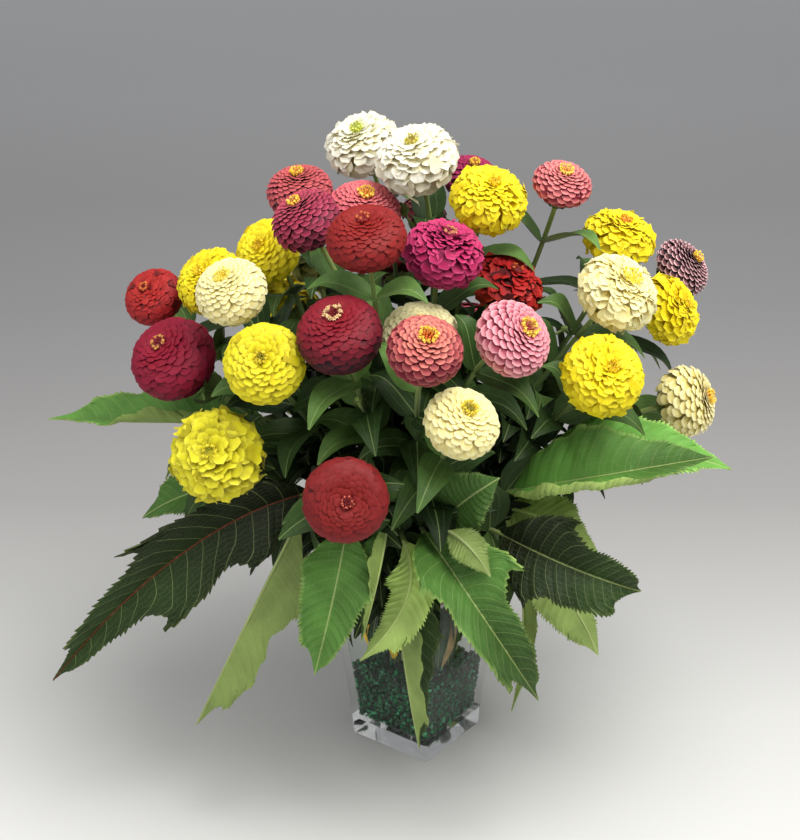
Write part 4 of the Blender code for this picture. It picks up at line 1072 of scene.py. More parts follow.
YELLOW = ((250, 230, 18), (248, 226, 12), (242, 214, 10), (234, 206, 8), (252, 238, 56), (240, 212, 26))
DULL_YELLOW = ((234, 218, 20), (232, 216, 14), (216, 196, 12), (202, 180, 8), (242, 230, 54), (208, 186, 24))
YELLOW_EYE = ((206, 170, 16), (236, 206, 22), (244, 214, 40))
CRIMSON = ((122, 8, 24), (110, 6, 28), (34, 2, 14), (30, 0, 10), (150, 14, 46), (70, 4, 22))
LOOKS = {
    "white_back": look(RUFFLED, (244, 242, 214), (246, 242, 218), (232, 220, 188), (234, 228, 180),
        (250, 248, 232), (236, 230, 186), eye_colours=((150, 165, 50), (196, 204, 80), (214, 214, 110)),
        petals=130),
    "white_front": look(RUFFLED, (246, 243, 218), (248, 244, 222), (238, 228, 194), (238, 230, 186),
        (252, 250, 236), (240, 234, 192), eye_colours=((160, 140, 50), (190, 186, 80), (214, 196, 90)),
        petals=130, drop=0.74),
    "coral_back": look(SCALES, (182, 72, 74), (178, 72, 80), (140, 30, 62), (60, 4, 20),
        (206, 108, 108), (120, 16, 40), petals=230, drop=0.75),
    "crimson_pink": look(SCALES, (180, 66, 82), (140, 22, 58), (64, 2, 26), (52, 0, 20), (198, 88, 114),
        (100, 4, 38), petals=230, **ROUND),
    "salmon": look(SCALES, (202, 92, 98), (192, 74, 88), (164, 30, 70), (104, 8, 32), (226, 134, 134),
        (150, 30, 62), eye_colours=((214, 140, 50), (236, 190, 90)), petals=230, eye=0.22),
    "red_top": look(VELVET, (130, 20, 17), (124, 17, 16), (106, 12, 16), (74, 4, 8), (146, 30, 26),
        (120, 14, 20), eye_colours=((130, 22, 16), (150, 30, 24), (232, 140, 60)), stars=7, eye=0.15,
        star=0.04),
    "yellow_top": look(RUFFLED, *YELLOW, eye_colours=YELLOW_EYE, petals=220, blunt=1.2, show=0.6,
        drop=0.78),
    "magenta_back": look(SCALES, (146, 18, 70), (136, 14, 66), (106, 6, 48), (56, 0, 24), (174, 48, 96),
        (106, 10, 48)),
    "orange_red": look(RUFFLED, (168, 20, 24), (164, 24, 22), (184, 62, 20), (70, 4, 8), (180, 34, 26),
        (188, 66, 24), eye_colours=((110, 14, 14), (130, 20, 16), (230, 120, 50)), petals=110,
        length=0.6, stars=5),
    "pink_high": look(SCALES, (220, 128, 122), (216, 114, 114), (190, 72, 84), (112, 14, 34),
        (230, 150, 148), (176, 60, 80), eye_colours=((220, 150, 70), (246, 222, 110)), petals=150,
        rise=0.60, drop=0.52, eye=0.25, stars=18, eye_height=0.66, root=(0.54, 0.97)),
    "yellow_upper_right": look(RUFFLED, *YELLOW,
        eye_colours=((200, 120, 20), (220, 150, 26), (236, 170, 40)), petals=130),
    "dusty_pink": look(SCALES, (176, 72, 84), (188, 92, 108), (172, 76, 94), (30, 0, 12),
        (250, 204, 206), (66, 4, 28), petals=230, rim=1.0, root=(0.78, 1.0), tip_lift=32),
    "yellow_right": look(RUFFLED, *YELLOW, eye_colours=YELLOW_EYE, petals=140, drop=0.76),
    "cream_far_right": look(SCALES, (252, 240, 166), (252, 240, 166), (242, 224, 136), (218, 198, 98),
        (253, 245, 198), (236, 216, 132), uneven=0.2, ruffle=0.03, **ROUND),
    "magenta": look(RUFFLED, (176, 28, 84), (176, 26, 84), (134, 8, 58), (110, 4, 54), (214, 80, 136),
        (124, 10, 62), eye_colours=((150, 24, 70), (170, 50, 80), (232, 170, 110)), petals=210,
        uneven=0.2, wild=9, tip_lift=30, stars=12, rim=0.5, **ROUND),
    "pink_light": look(SCALES, (222, 136, 148), (224, 146, 156), (222, 148, 146), (150, 40, 66),
        (240, 184, 188), (198, 108, 124), eye_colours=((176, 80, 70), (240, 200, 90)), petals=170,
        eye=0.25, stars=20, star=0.055, drop=0.72, root=(0.52, 0.95)),
    "cream_right": look(RUFFLED, (253, 244, 162), (253, 246, 178), (248, 236, 152), (244, 224, 134),
        (254, 249, 216), (242, 224, 148), eye_colours=((232, 206, 50), (242, 222, 70), (244, 226, 70)),
        petals=190, eye=0.24, stars=14, drop=0.74),
    "yellow_lower_right": look(RUFFLED, *YELLOW, eye_colours=YELLOW_EYE, petals=170, **ROUND),
    "cream_behind": look(SCALES, (244, 232, 164), (244, 234, 170), (230, 216, 144), (178, 160, 80),
        (250, 244, 204), (212, 194, 116)),
    "rose": look(SCALES, (212, 122, 104), (200, 92, 90), (104, 8, 34), (104, 2, 28), (222, 140, 126),
        (140, 14, 46), eye_colours=((214, 110, 34), (244, 206, 84)), petals=160, eye=0.25, stars=20,
        star=0.055, drop=0.72, rim=0.35, fade=(0.20, 0.58), root=(0.5, 0.92)),
    "crimson": look(VELVET, *CRIMSON, eye_colours=((116, 8, 24), (140, 14, 34), (250, 222, 160)),
        eye=0.22, stars=15, star=0.062, eye_height=0.74, fade=(0.32, 0.72), **ROUND),
    "cream_low": look(SCALES, (246, 232, 140), (248, 236, 156), (240, 226, 138), (242, 222, 132),
        (254, 248, 212), (242, 224, 148), eye_colours=((150, 140, 36), (240, 216, 66), (246, 224, 70)),
        petals=170, eye=0.23, stars=16, uneven=0.18, drop=0.74),
    "red_low": look(VELVET, (122, 21, 18), (114, 14, 18), (90, 7, 16), (66, 2, 9), (140, 32, 26),
        (112, 12, 20), eye_colours=((112, 14, 18), (134, 22, 24), (222, 120, 90)), stars=9, star=0.03,
        eye=0.15, uneven=0.2),
    "yellow_left": look(STRAP, *DULL_YELLOW,
        eye_colours=((150, 140, 30), (226, 206, 40), (240, 216, 50)), drop=0.74),
    "yellow_low_left": look(RUFFLED, (228, 218, 30), (226, 214, 24), (206, 190, 20), (176, 162, 14),
        (242, 234, 74), (190, 174, 32), eye_colours=((150, 150, 30), (214, 200, 40), (226, 212, 50)),
        petals=120, length=0.6, wild=13, **ROUND),
    "cream_left": look(SCALES, (244, 230, 142), (246, 234, 156), (234, 220, 136), (236, 216, 130),
        (254, 249, 222), (238, 222, 150), eye_colours=((226, 200, 60), (242, 222, 90), (244, 226, 100)),
        petals=220, eye=0.22, uneven=0.17, **ROUND),
    "crimson_left": look(VELVET, (128, 8, 34), (126, 6, 40), (92, 4, 30), (50, 0, 14), (142, 16, 58),
        (100, 8, 40), eye_colours=((110, 8, 30), (140, 16, 40), (236, 180, 90)), stars=10, uneven=0.22,
        petals=190, eye=0.17, star=0.045, **ROUND),
    "yellow_upper_left": look(STRAP, *YELLOW, eye_colours=YELLOW_EYE, petals=120, length=0.66),
    "yellow_behind": look(RUFFLED, *YELLOW, eye_colours=YELLOW_EYE, petals=230),
    "yellow_inner_left": look(RUFFLED, *YELLOW[:5], (140, 104, 30), eye_colours=YELLOW_EYE),
    "lemon": look(RUFFLED, (216, 214, 100), (210, 208, 108), (204, 204, 112), (120, 130, 40),
        (230, 228, 150), (204, 204, 116), eye_colours=YELLOW_EYE, petals=110, length=0.6),
    "red_left": look(VELVET, (160, 34, 28), (154, 26, 30), (130, 14, 30), (76, 4, 12), (170, 42, 38),
        (120, 14, 22), eye_colours=((120, 16, 14), (150, 30, 20), (232, 130, 60)), uneven=0.22, wild=9,
        eye=0.15),
    "pink_back": look(SCALES, (196, 110, 108), (192, 98, 102), (168, 68, 80), (90, 20, 30),
        (210, 138, 134), (156, 66, 78), petals=140),
    "back_cream": look(SCALES, (244, 234, 172), (246, 238, 186), (232, 218, 152), (190, 172, 90),
        (252, 246, 212), (222, 206, 134), **ROUND),
    "back_red": look(VELVET, (158, 32, 30), (156, 26, 30), (134, 14, 28), (84, 4, 12), (170, 38, 38),
        (122, 14, 22), eye_colours=((120, 16, 16), (150, 30, 26), (232, 150, 80))),
    "back_yellow": look(STRAP, *YELLOW, eye_colours=YELLOW_EYE, **ROUND),
    "back_rose": look(SCALES, (212, 100, 112), (204, 74, 96), (164, 24, 62), (124, 6, 38),
        (226, 132, 140), (150, 18, 52), petals=170, eye=0.24, stars=18),
}


# ---- leaves
TEETH = 42                      # along each edge of a large leaf
TOOTH_ROWS = 4
TOOTH_HEIGHT = 3 * MM
LARGE_ROWS = TEETH * TOOTH_ROWS + 1
LARGE_COLUMNS = 17
SIDE_VEINS = 16
LOBE_POINT = 0.70               # where along a lobe its point stands
# painted light and shade: leaves painted darker or paler than the rest as they lie in shade or light, in the
# order of LARGE_LEAVES and then of MORE_LEAVES: the tone of the upper side and of the under side, and the share
# of it at the leaf's root, which paints the root darker as shade
PAINTED_LEAF_LIGHT = {
    "leaf_far_left": ((1.8, 1.5), (1.4, 1.0)),
    "leaf_low_left": ((0.34, 0.8, 0.20),),
    "leaf_folded_left": ((1.0, 0.9),),
    "leaf_hanging": ((1.9, 0.78),),
    "leaf_pale_centre": ((1.2, 1.8, 1.7), (1.5, 1.4)),
    "leaf_front": ((0.50, 1.3),),
    "leaf_centre_right": ((0.80, 1.2, 2.3), (1.0, 0.85), (1.1, 1.1)),
    "leaf_lower_right": ((0.40, 1.0, 0.18), (1.0, 1.4), (1.4, 1.4)),
    "leaf_right": ((1.25, 1.0, 2.0),),
    "leaf_back_right": ((3.3, 1.5),),
    "leaf_behind_vase": ((2.0, 2.0),),
}
PLAIN_TONES = (1.0, 1.0)
# nodes whose first leaf has an edge that rolls over and shows its under side, and on which side of its rib
ROLLS = {"leaf_right": 1, "leaf_far_left": -1}
ROLL_RADIUS = 4 * MM
RED_RIBBED = "leaf_low_left"
# narrow leaves among the large ones, which only the looks have: as LARGE_LEAVES gives them
MORE_LEAVES = {
    "leaf_pale_centre": (
        ((-160, 5), 3.8, 40, (1, 0.1), (-2.6, -13.5, 27.7), (-3.2, -16.5, 24.5), (-4.5, -16.5, 18.6)),
    ),
    "leaf_lower_right": (
        ((60, -50), 5.4, 12, (1, 0.15), (6.6, -9.0, 26.6), (10.5, -12.0, 26.7), (14.7, -12.0, 23.3)),
    ),
    "leaf_centre_right": (
        ((100, -30), 2.6, 10, (1, 0.1), (2.2, -15.5, 27.7), (3.8, -17.5, 27.3), (5.4, -18.0, 25.1)),
        ((-70, 40), 5.0, 15, (1, 0.1), (2.1, -12.0, 27.2), (3.7, -14.5, 30.0), (6.1, -15.0, 32.0)),
    ),
}


def lobe_wave(x):
    """1 in each notch and 0 at each lobe's point, which leans towards the tip; x counts the lobes."""
    x = np.mod(x, 1.0)
    return np.where(x < LOBE_POINT, 1 - (x / LOBE_POINT) ** 1.1, 1 - ((1 - x) / (1 - LOBE_POINT)) ** 1.7)


def rolled(reach, t, way):
    """How far out and how far up a blade's points stand once its edge on one side has rolled over."""
    start = (0.68 + 0.44 * ramp(t, 0.45, 0.75)) * np.abs(reach).max(axis=1, keepdims=True)
    over = np.where(np.sign(reach) == way, np.maximum(0, np.abs(reach) - start), 0)
    angle = np.minimum(over / ROLL_RADIUS, 2.8)
    out = np.abs(reach) - over + ROLL_RADIUS * np.sin(angle) + (over - angle * ROLL_RADIUS) * np.cos(angle)
    up = ROLL_RADIUS * (1 - np.cos(angle)) + (over - angle * ROLL_RADIUS) * np.sin(angle)
    return np.sign(reach) * out, up


def large_leaf_grid(leaf, roll, rng):
    """The CAD's leaf with saw teeth, side veins and a blade that swells between them: its points, their places
    on the leaf, and the normals along its rib."""
    facing, width, fold, (lobes, depth) = leaf[:4]
    face, fold = heading(*facing), math.radians(fold)
    v = np.linspace(-1, 1, LARGE_COLUMNS)[None, :]
    v = np.sign(v) * np.abs(v) ** 0.85
    edge = ramp(np.abs(v), 0.80, 1.0)
    t = np.linspace(0, 1, LARGE_ROWS)[:, None]
    tt = t + 0.16 * np.abs(v) ** 1.3 * np.sin(math.pi * t) ** 0.8 * (1 - t) ** 0.3
    body = np.sin(math.pi * np.minimum(1.0, tt**0.75)) ** 1.1
    notch = lobe_wave(lobes * tt + LOBE_SHIFT * np.sign(v))
    half = 0.5 * width * CM * body * (1.0 - 0.8 * depth * notch) * 1.04 + 0.5 * MM
    # forward saw teeth, no two alike, that fade into the drawn-out tip
    row = np.arange(LARGE_ROWS)
    saw = (row % TOOTH_ROWS)[:, None] / (TOOTH_ROWS - 1)
    size = rng.uniform(0.45, 1.35, (2, TEETH + 1))[:, row // TOOTH_ROWS].T
    size = np.where(v < 0, size[:, :1], size[:, 1:]) * ramp(tt, 0.03, 0.1) * ramp(-tt, -0.97, -0.80)
    teeth = size * TOOTH_HEIGHT * (saw - 0.4) * edge
    # the points of teeth and lobes lean towards the leaf's tip
    lobe_lean = 0.20 * depth * ramp(-notch, -0.5, 0.0) * np.sin(math.pi * t)
    tt = tt + (0.45 / TEETH * saw * size + lobe_lean) * edge * (1 - t) ** 0.3
    along = spine(leaf, np.minimum(tt + 0.01, 1)) - spine(leaf, np.maximum(tt - 0.01, 0))
    along /= np.linalg.norm(along, axis=-1, keepdims=True)
    side = np.cross(along, face)
    side /= np.linalg.norm(side, axis=-1, keepdims=True)
    normal = np.cross(side, along)
    phase = rng.uniform(0, 2 * math.pi, 4)
    wave = 0.10 * np.sin(2 * math.pi * 2.6 * tt + phase[0] + np.sign(v)) * np.abs(v) ** 1.5
    wave = wave + 0.05 * np.sin(2 * math.pi * 7.3 * tt + phase[1] + 2 * np.sign(v)) * np.abs(v) ** 3
    # the blade swells between its side veins and lies low along them
    quilt = np.abs(np.sin(math.pi * SIDE_VEINS * t)) ** 0.6 * (np.abs(v) * (1 - 0.6 * np.abs(v))) ** 0.5
    quilt = quilt * 1.4 * MM * ramp(half, 4 * MM, 14 * MM)
    sag = 0.20 * np.abs(v) * (1 - np.abs(v))
    reach, up = rolled(v * half + np.sign(v) * teeth, t, roll)
    reach = (reach * math.cos(fold))[..., None] * side
    lift = (half * (np.abs(v) * math.sin(fold) + wave + sag) + quilt + up)[..., None] * normal
    points = spine(leaf, tt) + reach + lift
    places = np.stack([v * half / CM, np.broadcast_to(SIDE_VEINS * t, half.shape)], -1)
    return points, places, normal[:, LARGE_COLUMNS // 2]


def small_leaf_grid(base, out, length, along, rng):
    """The CAD's small leaf, finely: smooth-edged, with three main veins."""
    t = np.linspace(0, 1, 11)[:, None]
    v = np.linspace(-1, 1, 7)[None, :]
    side = unit(np.cross(out, along))
    body = 0.235 * np.sin(math.pi * np.minimum(t, 0.995) ** 0.58) ** 0.85
    half = body + 0.012 + 0.03 * (1 - ramp(t, 0.0, 0.12))
    droop = 0.22 * rng.uniform(0.8, 1.5)
    curl = 0.10 * np.sin(math.pi * t) - 0.04 * np.sin(2 * math.pi * t)
    rib = base + length * (t[..., None] * out + curl[..., None] * along - droop * (t**2)[..., None] * UP)
    edge = 0.35 * half * np.abs(v) ** 1.4 + 0.02 * np.sin(7 * t + rng.uniform(0, 6)) * v * half * 2
    points = rib + (v * half * length)[..., None] * side + (edge * length)[..., None] * along
    places = np.stack(np.broadcast_arrays(v * half * length / CM, 1.1 * np.abs(v)), -1)
    return points, places


def add_small_leaf(skin, base, out, length, along, rng, slot=1):
    points, places = small_leaf_grid(base, out, length, along, rng)
    # painted shade: the heart of the bouquet gets little light, so its leaves are painted darker
    outside = ramp(base[2] + 0.6 * np.hypot(base[0], base[1]), 0.30, 0.48)
    tone = rng.uniform(0.6, 1.2) * (0.26 + 0.74 * outside)
    # each leaf is paler or darker green at random
    pale_share = rng.uniform(0, 1) ** 1.5
    upper = (linear(40, 66, 28) * (1 - pale_share) + linear(100, 136, 66) * pale_share) * tone
    under = linear(116, 138, 76) * tone
    skin.blades(points[None], SMALL_LEAF_THICK, upper, under, places[None], slot)


CROWD_LENGTHS = (60 * MM, 50 * MM, 42 * MM, 34 * MM)
CROWD_LEAN = {0: 0.5, 1: 0.35, -1: 0.65, 2: 0.3, -2: 0.8}    # along the stem, by how far a leaf is turned
CROWD_PLACES = (0.16, 0.28, 0.40, 0.52, 0.64, 0.76, 0.88)    # along each stem
CROWD_ROOM = 1 * MM
CROWD_ROOT = 10 * MM            # nearer than this to its root, a leaf needs no room
CROWD_REACH = 95 * MM           # what stands farther from the root can't be in a leaf's way


def has_room(points, room, near):
    """True if no point comes nearer than room to the balls."""
    apart = (points**2).sum(1)[:, None] + (near[:, :3] ** 2).sum(1) - 2 * points @ near[:, :3].T
    return bool((apart > (near[:, 3] + room) ** 2).all())


def add_crowd(skin, route, radius, solids, rng, slot=1):
    """More leaves in opposite pairs on one stem, each wherever it has room among the solids."""
    own = {tuple(ball) for ball in route_spheres(route, radius)}
    around = np.vstack(solids)
    around = around[[tuple(ball) not in own for ball in around]]
    for way in crowd_leaves(route, around, rng):
        add_small_leaf(skin, *way, rng, slot)
        solids.append(balls(blade_samples(small_leaf(*way), 3, 2), CROWD_ROOM))


def crowd_leaves(route, solids, rng):
    """Where the leaves of a crowd go on one stem."""
    found = []
    for place in CROWD_PLACES:
        root, along, side, other = leaf_root(route, place)
        start = rng.uniform(0, math.pi)
        near = solids[((solids[:, :3] - root) ** 2).sum(1) < CROWD_REACH**2]
        for half_turn in (0, math.pi):
            lengths = [length * rng.uniform(0.92, 1.05) for length in CROWD_LENGTHS]
            for length, k in ((length, k) for length in lengths for k in (0, 1, -1, 2, -2)):
                a = start + half_turn + 0.32 * k
                out = unit(side * math.cos(a) + other * math.sin(a) + CROWD_LEAN[k] * along)
                points = blade_samples(small_leaf(root, out, length, along), 3, 2)
                points = points[np.linalg.norm(points - root, axis=1) > CROWD_ROOT]
                if has_room(points, CROWD_ROOM, near):
                    found.append((root, out, length, along))
                    near = np.vstack([near, balls(points, CROWD_ROOM)])
                    break
    return found


# ---- stems
# painted shade: stems are painted darker towards their feet, in the bouquet's shade, and pale near the blooms
STEM_PALE, STEM_PAINTED_SHADE = linear(142, 160, 86), linear(74, 104, 50)


def add_stem(skin, start, route, axis, radius):
    """A round stem from its foot among the chips to the cup under its bloom."""
    foot = [np.array([start[0], start[1], z]) for z in np.linspace(SHEAF_FOOT, SHEAF_TOP - 10 * MM, 6)]
    path = list(bezier(route, 1 - (1 - np.linspace(0, 1, 22)) ** 1.5))
    path = path[:-1] + [path[-1] - 7 * MM * axis, path[-1] - 3 * MM * axis, path[-1]]
    points = np.array(foot + path)
    radii = np.full(len(points), radius)
    radii[-3:] = (1.05 * radius, 1.5 * radius, CUP * STEM * 0.9)
    # painted shade: darker towards the stem's foot
    pale = ramp(np.arange(len(points)) / len(points), 0.45, 0.85)[:, None]
    skin.tube(points, radii, 9, STEM_PAINTED_SHADE * (1 - pale) + STEM_PALE * pale)


def add_stalk(skin, route, standing, radius, last=0.8):
    points = list(bezier(route, 1 - (1 - np.linspace(0, 1, 16)) ** 1.5))
    if standing:
        upright = (PETIOLE_FOOT, 125 * MM, 150 * MM)
        points = [points[0] * np.array([1, 1, 0]) + z * UP for z in upright] + points
    radii = radius * np.linspace(1.0, last, len(points))
    skin.tube(np.array(points), radii, 8, linear(128, 142, 78))


def add_large_leaf(skin, leaf, tones, roll, red_ribbed, rng):
    points, places, normals = large_leaf_grid(leaf, roll, rng)
    margin = 0.40 * ramp(np.linspace(-1, 1, LARGE_COLUMNS) ** 2, 0.8, 1.0)[:, None]
    # painted light and shade: the leaf's tones pale or darken its sides as it lies lit or shaded, and its root
    # is painted darker as shade
    root = tones[2] if len(tones) > 2 else 1.0
    along = (root + (1 - root) * ramp(np.linspace(0, 1, LARGE_ROWS), 0.10, 0.80))[:, None, None]
    tints = (linear(58, 92, 36) * tones[0], linear(122, 142, 76) * tones[1])
    upper, under = (along * (tint + (linear(150, 172, 92) * (0.15 + 0.6 * tone) - tint) * margin)
                    for tint, tone in zip(tints, tones))
    skin.blades(points[None], LARGE_LEAF_THICK, upper, under, places[None], 1)
    middle = LARGE_COLUMNS // 2
    t = np.linspace(0.0, 0.97, 28)
    rib_tint = linear(130, 80, 54) if red_ribbed else linear(150, 166, 98) * (0.25 + 0.75 * tones[1])
    row = np.linspace(0, 1, LARGE_ROWS)
    rib, back = (np.stack([np.interp(t, row, line[:, k]) for k in range(3)], -1)
                 for line in (points[:, middle], normals))
    radii = PETIOLE * (0.75 - 0.62 * t)
    skin.tube(rib - back * radii[:, None] * 0.55, radii, 8, rib_tint)


def add_bud(skin, middle, axis, size, rng):
    """A closed green bud: overlapping scales round a pointed egg."""
    rows = np.array([0.0, 0.4, 0.8, 1.0])
    half = 0.40 * np.array([0.8, 1.0, 0.7, 0.12])
    rings = ((0.0, 0.62, 20), (0.35, 0.56, 8), (0.7, 0.40, -8), (1.0, 0.22, -24))
    for row, (z, r, lean) in enumerate(rings):
        lean = math.radians(lean)
        points = scale_ring(7, 0.5 * row, r + (rows * 0.75) * math.sin(lean) - 0.1 * (1 - rows),
                            z + (rows * 0.75) * math.cos(lean), 0.1, half)
        tint = linear(120, 140, 66) * rng.uniform(0.85, 1.15)
        skin.blades(put_in_place(points, middle, axis, size), SCALE_THICK, tint, tint, np.zeros(2), 1)
    heart = [middle + along * size * axis for along in (-0.4, 0.1, 0.8, 1.5)]
    skin.tube(heart, size * np.array([0.18, 0.5, 0.5, 0.1]), 8, linear(104, 124, 58))


BUD_STALK = 1.1 * MM
# sheaf, which of its stems and how far up, the bud's place (cm) and its size
BUDS = (
    ("stems_middle", 0, 0.80, (-1.1, 4.0, 47.6), 6.5 * MM),
    ("stems_front", 2, 0.72, (-4.7, -14.0, 37.9), 3.6 * MM),
    ("stems_right", 0, 0.70, (11.8, -2.0, 39.4), 3.2 * MM),
)


# ---- the vase, the water and the chips
# how much the walls, the foot and the water bend light: less than in nature, which keeps the walls pale
WALL_IOR, FOOT_IOR, WATER_IOR = 1.07, 1.34, 1.05


def clear_material(name, colour, ior, shadow):
    """Clear glass or water that lets the lamps' light through."""
    n = Nodes(name)
    n.set(Base_Color=(*colour, 1), Roughness=0.0, IOR=ior, Transmission_Weight=1.0,
          Coat_Weight=0.32, Coat_Roughness=0.03)
    n.bump(n.noise(14.0), 0.06, 0.002)
    clear = n.node("BsdfTransparent", {0: (*shadow, 1)})
    for_lamps = n.node("LightPath").outputs["Is Shadow Ray"]
    mix = n.node("MixShader", {0: for_lamps, 1: n.shader.outputs[0], 2: clear.outputs[0]})
    n.tree.links.new(mix.outputs[0], n.tree.nodes["Material Output"].inputs["Surface"])
    return n.mat


def chip_material():
    n = Nodes("green_glass")
    streak = n.spread(n.noise(700.0), 0.35, 0.65, 0.7, 1.35)
    n.set(Base_Color=n.tinted(streak), Roughness=0.12, Specular_IOR_Level=0.6,
          Coat_Weight=0.4, Coat_Roughness=0.05)
    return n.mat


def lathe_rings(skin, rings):
    """A closed shell through rows of rings, capped at both ends."""
    count = len(rings[0])
    skin.add([p for ring in rings for p in ring], ring_faces(len(rings), count)[0], np.ones(3))
    cap = np.arange(count)
    skin.more([cap[::-1]], np.ones(3))
    skin.more([cap + (len(rings) - 1) * count], np.ones(3))


RIM_BEVEL = 1.2 * MM


def cavity_ring(z, wider=0.0):
    """A ring on the inner face of the vase's wall, or so much wider."""
    return vase_ring(outer_side(z) - 2 * WALL + wider, z, CORNER - 1 * MM)


def make_vase(mats):
    skin = Skin()
    rings = [vase_ring(FOOT_SIDE - 3 * MM, 0.0, CORNER), vase_ring(FOOT_SIDE - 0.6 * MM, 0.6 * MM, CORNER)]
    outside = (2 * MM, 18 * MM, 30 * MM, WAIST_HEIGHT, 42 * MM, 70 * MM, 110 * MM)
    rings += [vase_ring(outer_side(z), z, CORNER) for z in outside]
    rings += [vase_ring(RIM_SIDE, RIM_HEIGHT - 1.5 * MM, CORNER)]
    rings += [vase_ring(RIM_SIDE - RIM_BEVEL, RIM_HEIGHT, CORNER)]
    mouth = RIM_SIDE - 2 * WALL
    rings += [vase_ring(mouth + RIM_BEVEL, RIM_HEIGHT, CORNER - 1 * MM)]
    rings += [vase_ring(mouth, RIM_HEIGHT - RIM_BEVEL, CORNER - 1 * MM)]
    rings += [cavity_ring(z) for z in (100 * MM, 60 * MM, 42 * MM, WAIST_HEIGHT, 30 * MM, 24 * MM)]
    floor_side = outer_side(FLOOR) - 2 * WALL
    rings += [vase_ring(floor_side - 1.5 * MM, FLOOR + 1.5 * MM, CORNER - 1 * MM)]
    rings += [vase_ring(floor_side - 5 * MM, FLOOR, CORNER - 1 * MM)]
    lathe_rings(skin, rings)
    # the thick foot bends light more than the thin walls are allowed to
    foot = 3 * len(rings[0])
    skin.slots[0] = np.where(np.arange(len(skin.faces[0])) < foot, 1, 0)
    skin.slots[1] = np.ones(1, dtype=int)
    return skin.build("vase_glass", mats, sharp=28)


def make_water(mat):
    """Water from the vase's floor to its level, a hair's breadth into the glass, so no air shows between."""
    skin = Skin()
    touch = 0.2 * MM
    levels = (FLOOR + 1.5 * MM, 24 * MM, 30 * MM, WAIST_HEIGHT, 42 * MM, 60 * MM, 100 * MM,
              WATER_LEVEL - 0.2 * MM)
    rings = [vase_ring(outer_side(FLOOR) - 2 * WALL - 5 * MM, FLOOR - touch, CORNER - 1 * MM)]
    rings += [cavity_ring(z, 2 * touch) for z in levels]
    top_side = outer_side(WATER_LEVEL) - 2 * WALL
    rings += [vase_ring(top_side - 1.5 * MM, WATER_LEVEL - 1.2 * MM, CORNER - 1 * MM)]
    lathe_rings(skin, rings)
    return skin.build("water_body", [mat], sharp=28)


# rows of leaves that hang in the water above the chips, some painted bright yellow as a painted reflection of
# the yellow blooms seen through the glass and water: from which place across the vase to which, the height of
# their tops and their length (m), and their tints in order
SUNKEN_TINTS = {"d": linear(30, 62, 28), "y": linear(255, 206, 30), "t": linear(170, 140, 92)}
SUNKEN_ROWS = (
    ((-0.70, -0.82), (0.66, -0.82), 0.150, 0.046, "yyydyydyd"),
    ((-0.74, -0.55), (0.70, -0.55), 0.152, 0.058, "dddddd"),
    ((0.72, -0.5), (0.72, 0.7), 0.150, 0.052, "dtdttd"),
    ((0.50, -0.4), (0.50, 0.72), 0.152, 0.060, "ddddd"),
)


def add_sunken_leaves(skin, rng):
    level = np.array([1.0, 1.0, 0.0])
    for first, last, z, length, tints in SUNKEN_ROWS:
        across, deep = (np.linspace(a, b, len(tints)) for a, b in zip(first, last))
        for u, v, kind in zip(across, deep, tints):
            # the yellow tint is a painted reflection of the yellow blooms, brighter than a leaf in that shade
            tint = SUNKEN_TINTS[kind]
            top = inside_point(float(u), float(v), z)
            down = unit(np.array([0.12 * rng.normal(), 0.12 * rng.normal(), -1.0]))
            outward = unit(top * level + 0.01 * rng.normal(0, 1, 3) * level)
            outward = unit(outward - down * np.dot(outward, down))
            points, places = small_leaf_grid(top, down, length * rng.uniform(0.8, 1.0), outward, rng)
            upper, under = tint * rng.uniform(0.8, 1.1), tint * 1.2
            skin.blades(points[None], SUNKEN_THICK, upper, under, places[None], 1)


CHIP_PITCH = 3.5 * MM
CHIP_LAYERS = 38
CHIP_SEED, LEAF_SEED = 77, 5


